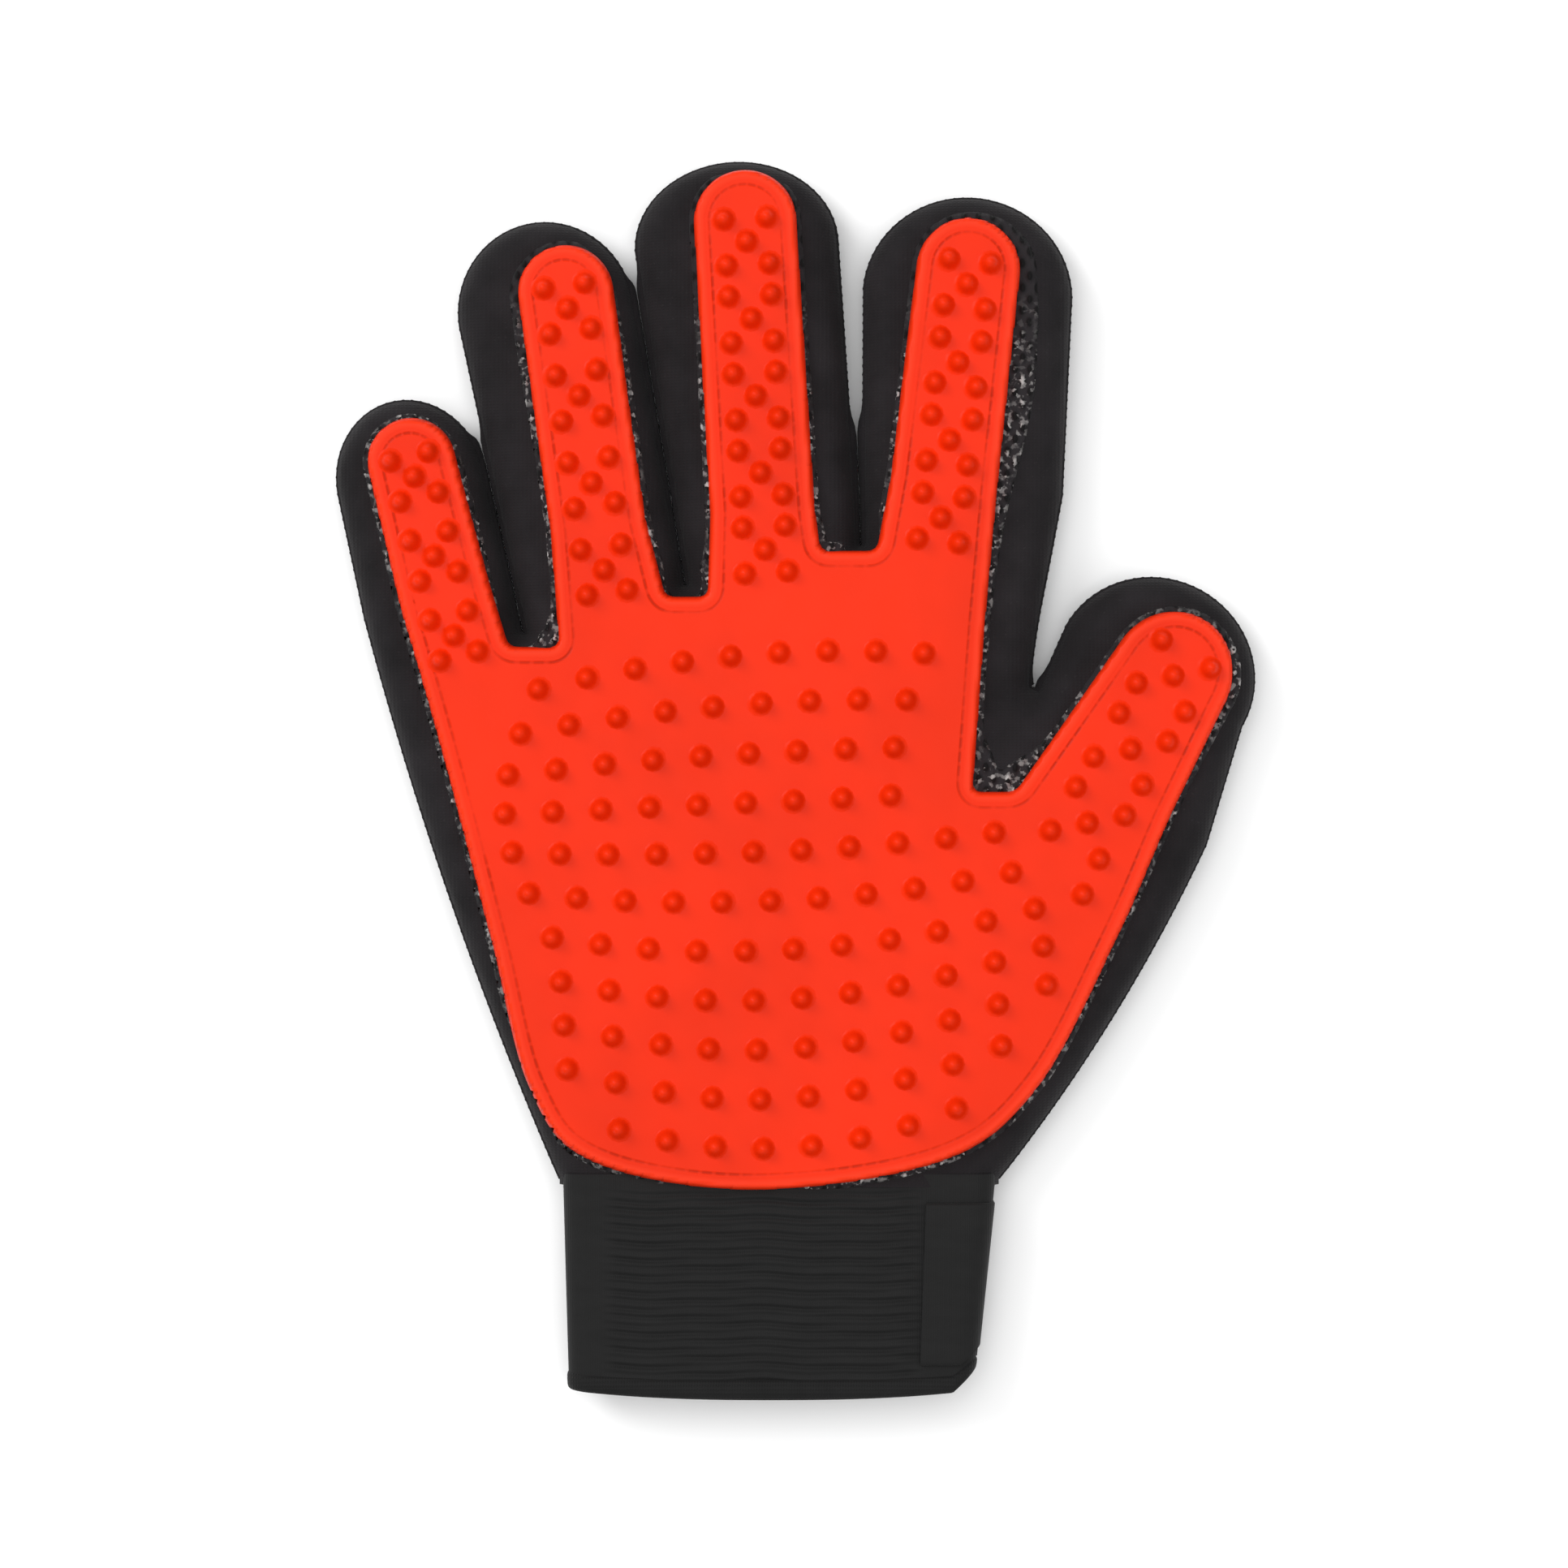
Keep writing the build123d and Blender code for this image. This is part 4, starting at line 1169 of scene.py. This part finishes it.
def carried(centres, half_width, half_thick, low_cut=None, count=84):
    """Band carried along a path in the XZ plane: a flat round section at each point of it.

    The section's points are the path's point plus its normal times a height and +Y times a
    width. Where a cut is given, the lower edge rises by the distance past the cut's x.
    """
    path = np.array(centres)
    ahead = np.gradient(path, axis=0)
    ahead /= np.hypot(*ahead.T)[:, None]
    up = np.stack((-ahead[:, 1], ahead[:, 0]), -1)
    ring, normal = section_ring(half_width, half_thick, half_thick * 0.9, count)
    width = np.clip(ring[:, 0], -half_width, half_width)
    x = path[:, 0, None] + up[:, 0, None] * ring[None, :, 1]
    z = path[:, 1, None] + up[:, 1, None] * ring[None, :, 1]
    y = STRAP_Y + np.repeat(width[None], len(path), 0)
    if low_cut is not None:
        y = np.maximum(y, STRAP_Y - half_width + np.maximum(x - low_cut, 0))
    points = slanted(np.stack((x, y, z), -1))
    normals = np.stack((up[:, 0, None] * normal[None, :, 1], np.repeat(normal[None, :, 0], len(path), 0),
                        up[:, 1, None] * normal[None, :, 1]), -1)
    quads = closed_quads(len(path), len(ring)).reshape(-1, 4)
    flat, flat_normals = points.reshape(-1, 3), normals.reshape(-1, 3)
    ends = np.stack([points[0].mean(0), points[-1].mean(0)])
    end_normals = np.array([(-ahead[0, 0], 0, -ahead[0, 1]), (ahead[-1, 0], 0, ahead[-1, 1])])
    number = np.arange(len(flat)).reshape(points.shape[:2])
    first = np.stack((number[0], np.roll(number[0], -1), np.full(len(ring), len(flat))), -1)
    last = np.stack((np.roll(number[-1], -1), number[-1], np.full(len(ring), len(flat) + 1)), -1)
    all_normals = np.vstack((flat_normals, end_normals))
    return Shape(np.vstack((flat, ends)), all_normals, quads, np.vstack((first, last)))


def facing_out(piece):
    """Turn a closed piece's faces outwards, also where its lower edge is pressed together."""
    mesh = bmesh.new()
    mesh.from_mesh(piece.data)
    bmesh.ops.recalc_face_normals(mesh, faces=mesh.faces)
    mesh.to_mesh(piece.data)
    mesh.free()


class BuildStrap(bpy.types.Operator):
    """Wrist strap with its anchor, fold, hook patch and pull tab, and the loop patch."""

    bl_idname = "glove.strap"
    bl_label = "Wrist strap"

    def execute(self, context):
        """Flat strips in their boxes, and a band carried over the cuff's edge for the anchor."""
        webbing = woven("strap_webbing_elastic", 1.0, 0.9, 0.6, 0.12)
        slab("strap_elastic_band", "strap_elastic", 0.6, 0.8, webbing, "strap", slant=True)
        slab("strap_hook_pad", "strap_hook_patch", 1.5, 0.8, pile("hook_pile_rows", 0.8, 0.9, 0.4, 0.5),
             "strap", 0.25)
        slab("strap_end_tab", "strap_pull_tab", 3.5, 0.6, moulded_tab(), "strap", 0.8)
        slab("cuff_loop_pad", "cuff_loop_patch", 1.5, 0.8, pile("loop_pile_fuzz", 1.0, 0.6, 0.35, 0.95),
             "hand", 0.3)
        low, high = node_box("strap_anchor")
        top, out = high[2] - 0.6, high[0] - 0.6
        leaf = rounded([(low[0], top), (out, top), (out, low[2])], 5.2, 14)
        leaf = np.vstack((np.linspace(leaf[0], leaf[1], 12), leaf[2:-2], np.linspace(leaf[-2], leaf[-1], 10)))
        shape = carried(leaf, 15.0, 0.6, high[0] - 3.5)
        anchor = put("strap_anchor_leaf", shape, ribbed_elastic())
        facing_out(anchor)
        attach(anchor, "hand")
        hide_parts("strap_anchor")
        bend = rounded([(out, low[2] + 0.4), (out, 0.8), (low[0] + 11.0, 0.8)], 1.7, 12)
        fold = put("strap_fold_band", carried(bend, 14.8, 0.55), webbing)
        facing_out(fold)
        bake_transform(fold)
        return {"FINISHED"}


class BuildStage(bpy.types.Operator):
    """Pale floor, soft lights and the camera."""

    bl_idname = "glove.stage"
    bl_label = "Stage"

    def execute(self, context):
        """One large plane, four area lights and a camera that looks straight down."""
        scene = context.scene
        floor = bpy.data.meshes.new("floor")
        corners = [(x, y, -0.0006) for x, y in ((-3, -3), (3, -3), (3, 3), (-3, 3))]
        floor.from_pydata(corners, [], [(0, 1, 2, 3)])
        paper = Nodes("floor_paper", (0.93, 0.93, 0.93), 0.95)
        paper.finish(paper.ramp(paper.noise(60.0, 2.0), [(0.3, 0.92), (0.7, 0.94)]))
        floor.materials.append(paper.material)
        ground = bpy.data.objects.new("floor", floor)
        scene.collection.objects.link(ground)
        for name, place, size, power in (
            ("light_top", (-0.1, 0.15, 1.2), 1.2, 9.5), ("light_left", (-0.8, 0.6, 0.8), 0.6, 7.5),
            ("light_right", (0.9, -0.2, 0.8), 0.9, 2.0), ("light_front", (0.0, -1.0, 0.7), 0.9, 1.5),
        ):
            lamp = bpy.data.lights.new(name, "AREA")
            lamp.size, lamp.energy = size, power
            holder = bpy.data.objects.new(name, lamp)
            holder.location = place
            holder.rotation_euler = look(place)
            scene.collection.objects.link(holder)
        world = scene.world or bpy.data.worlds.new("room")
        scene.world = world
        world.use_nodes = True
        world.node_tree.nodes["Background"].inputs["Color"].default_value = (1, 1, 1, 1)
        world.node_tree.nodes["Background"].inputs["Strength"].default_value = 0.5
        camera = bpy.data.cameras.new("camera")
        camera.lens, camera.sensor_width = 100, 36
        camera.clip_start = 0.01
        holder = bpy.data.objects.new("camera", camera)
        holder.location = (-0.0021, -0.0009, 0.81 + 0.009)
        scene.collection.objects.link(holder)
        scene.camera = holder
        scene.view_settings.view_transform = "Standard"
        return {"FINISHED"}


def look(place):
    """Turn that points a light from a place to the glove."""
    return (-Vector(place)).to_track_quat("-Z", "Y").to_euler()


class GlovePanel(bpy.types.Panel):
    """Sidebar panel with the sizes, the colours and a button for each piece."""

    bl_idname = "VIEW3D_PT_glove"
    bl_label = "Grooming glove"
    bl_space_type = "VIEW_3D"
    bl_region_type = "UI"
    bl_category = "Glove"

    def draw(self, context):
        """Sizes, colours and the buttons."""
        for group in (context.scene.glove_sizes, context.scene.glove_colours):
            for key in group.bl_rna.properties.keys():
                if key not in ("rna_type", "name"):
                    self.layout.prop(group, key)
        for step in STEPS:
            self.layout.operator(step.bl_idname)


STEPS = (BuildStage, BuildBackPanel, BuildCloth, BuildPalmMesh, BuildPad, BuildCuff, BuildTapes, BuildStrap)
CLASSES = (GloveSizes, GloveColours, *STEPS, GlovePanel)


def register():
    """Add the classes and the scene's two groups of settings."""
    for item in CLASSES:
        bpy.utils.register_class(item)
    bpy.types.Scene.glove_sizes = bpy.props.PointerProperty(type=GloveSizes)
    bpy.types.Scene.glove_colours = bpy.props.PointerProperty(type=GloveColours)


def unregister():
    """Take the settings and the classes away again."""
    del bpy.types.Scene.glove_colours
    del bpy.types.Scene.glove_sizes
    for item in reversed(CLASSES):
        bpy.utils.unregister_class(item)


def main():
    """Build every piece in order."""
    register()
    for step in STEPS:
        group, name = step.bl_idname.split(".")
        getattr(getattr(bpy.ops, group), name)()


if __name__ == "__main__":
    main()
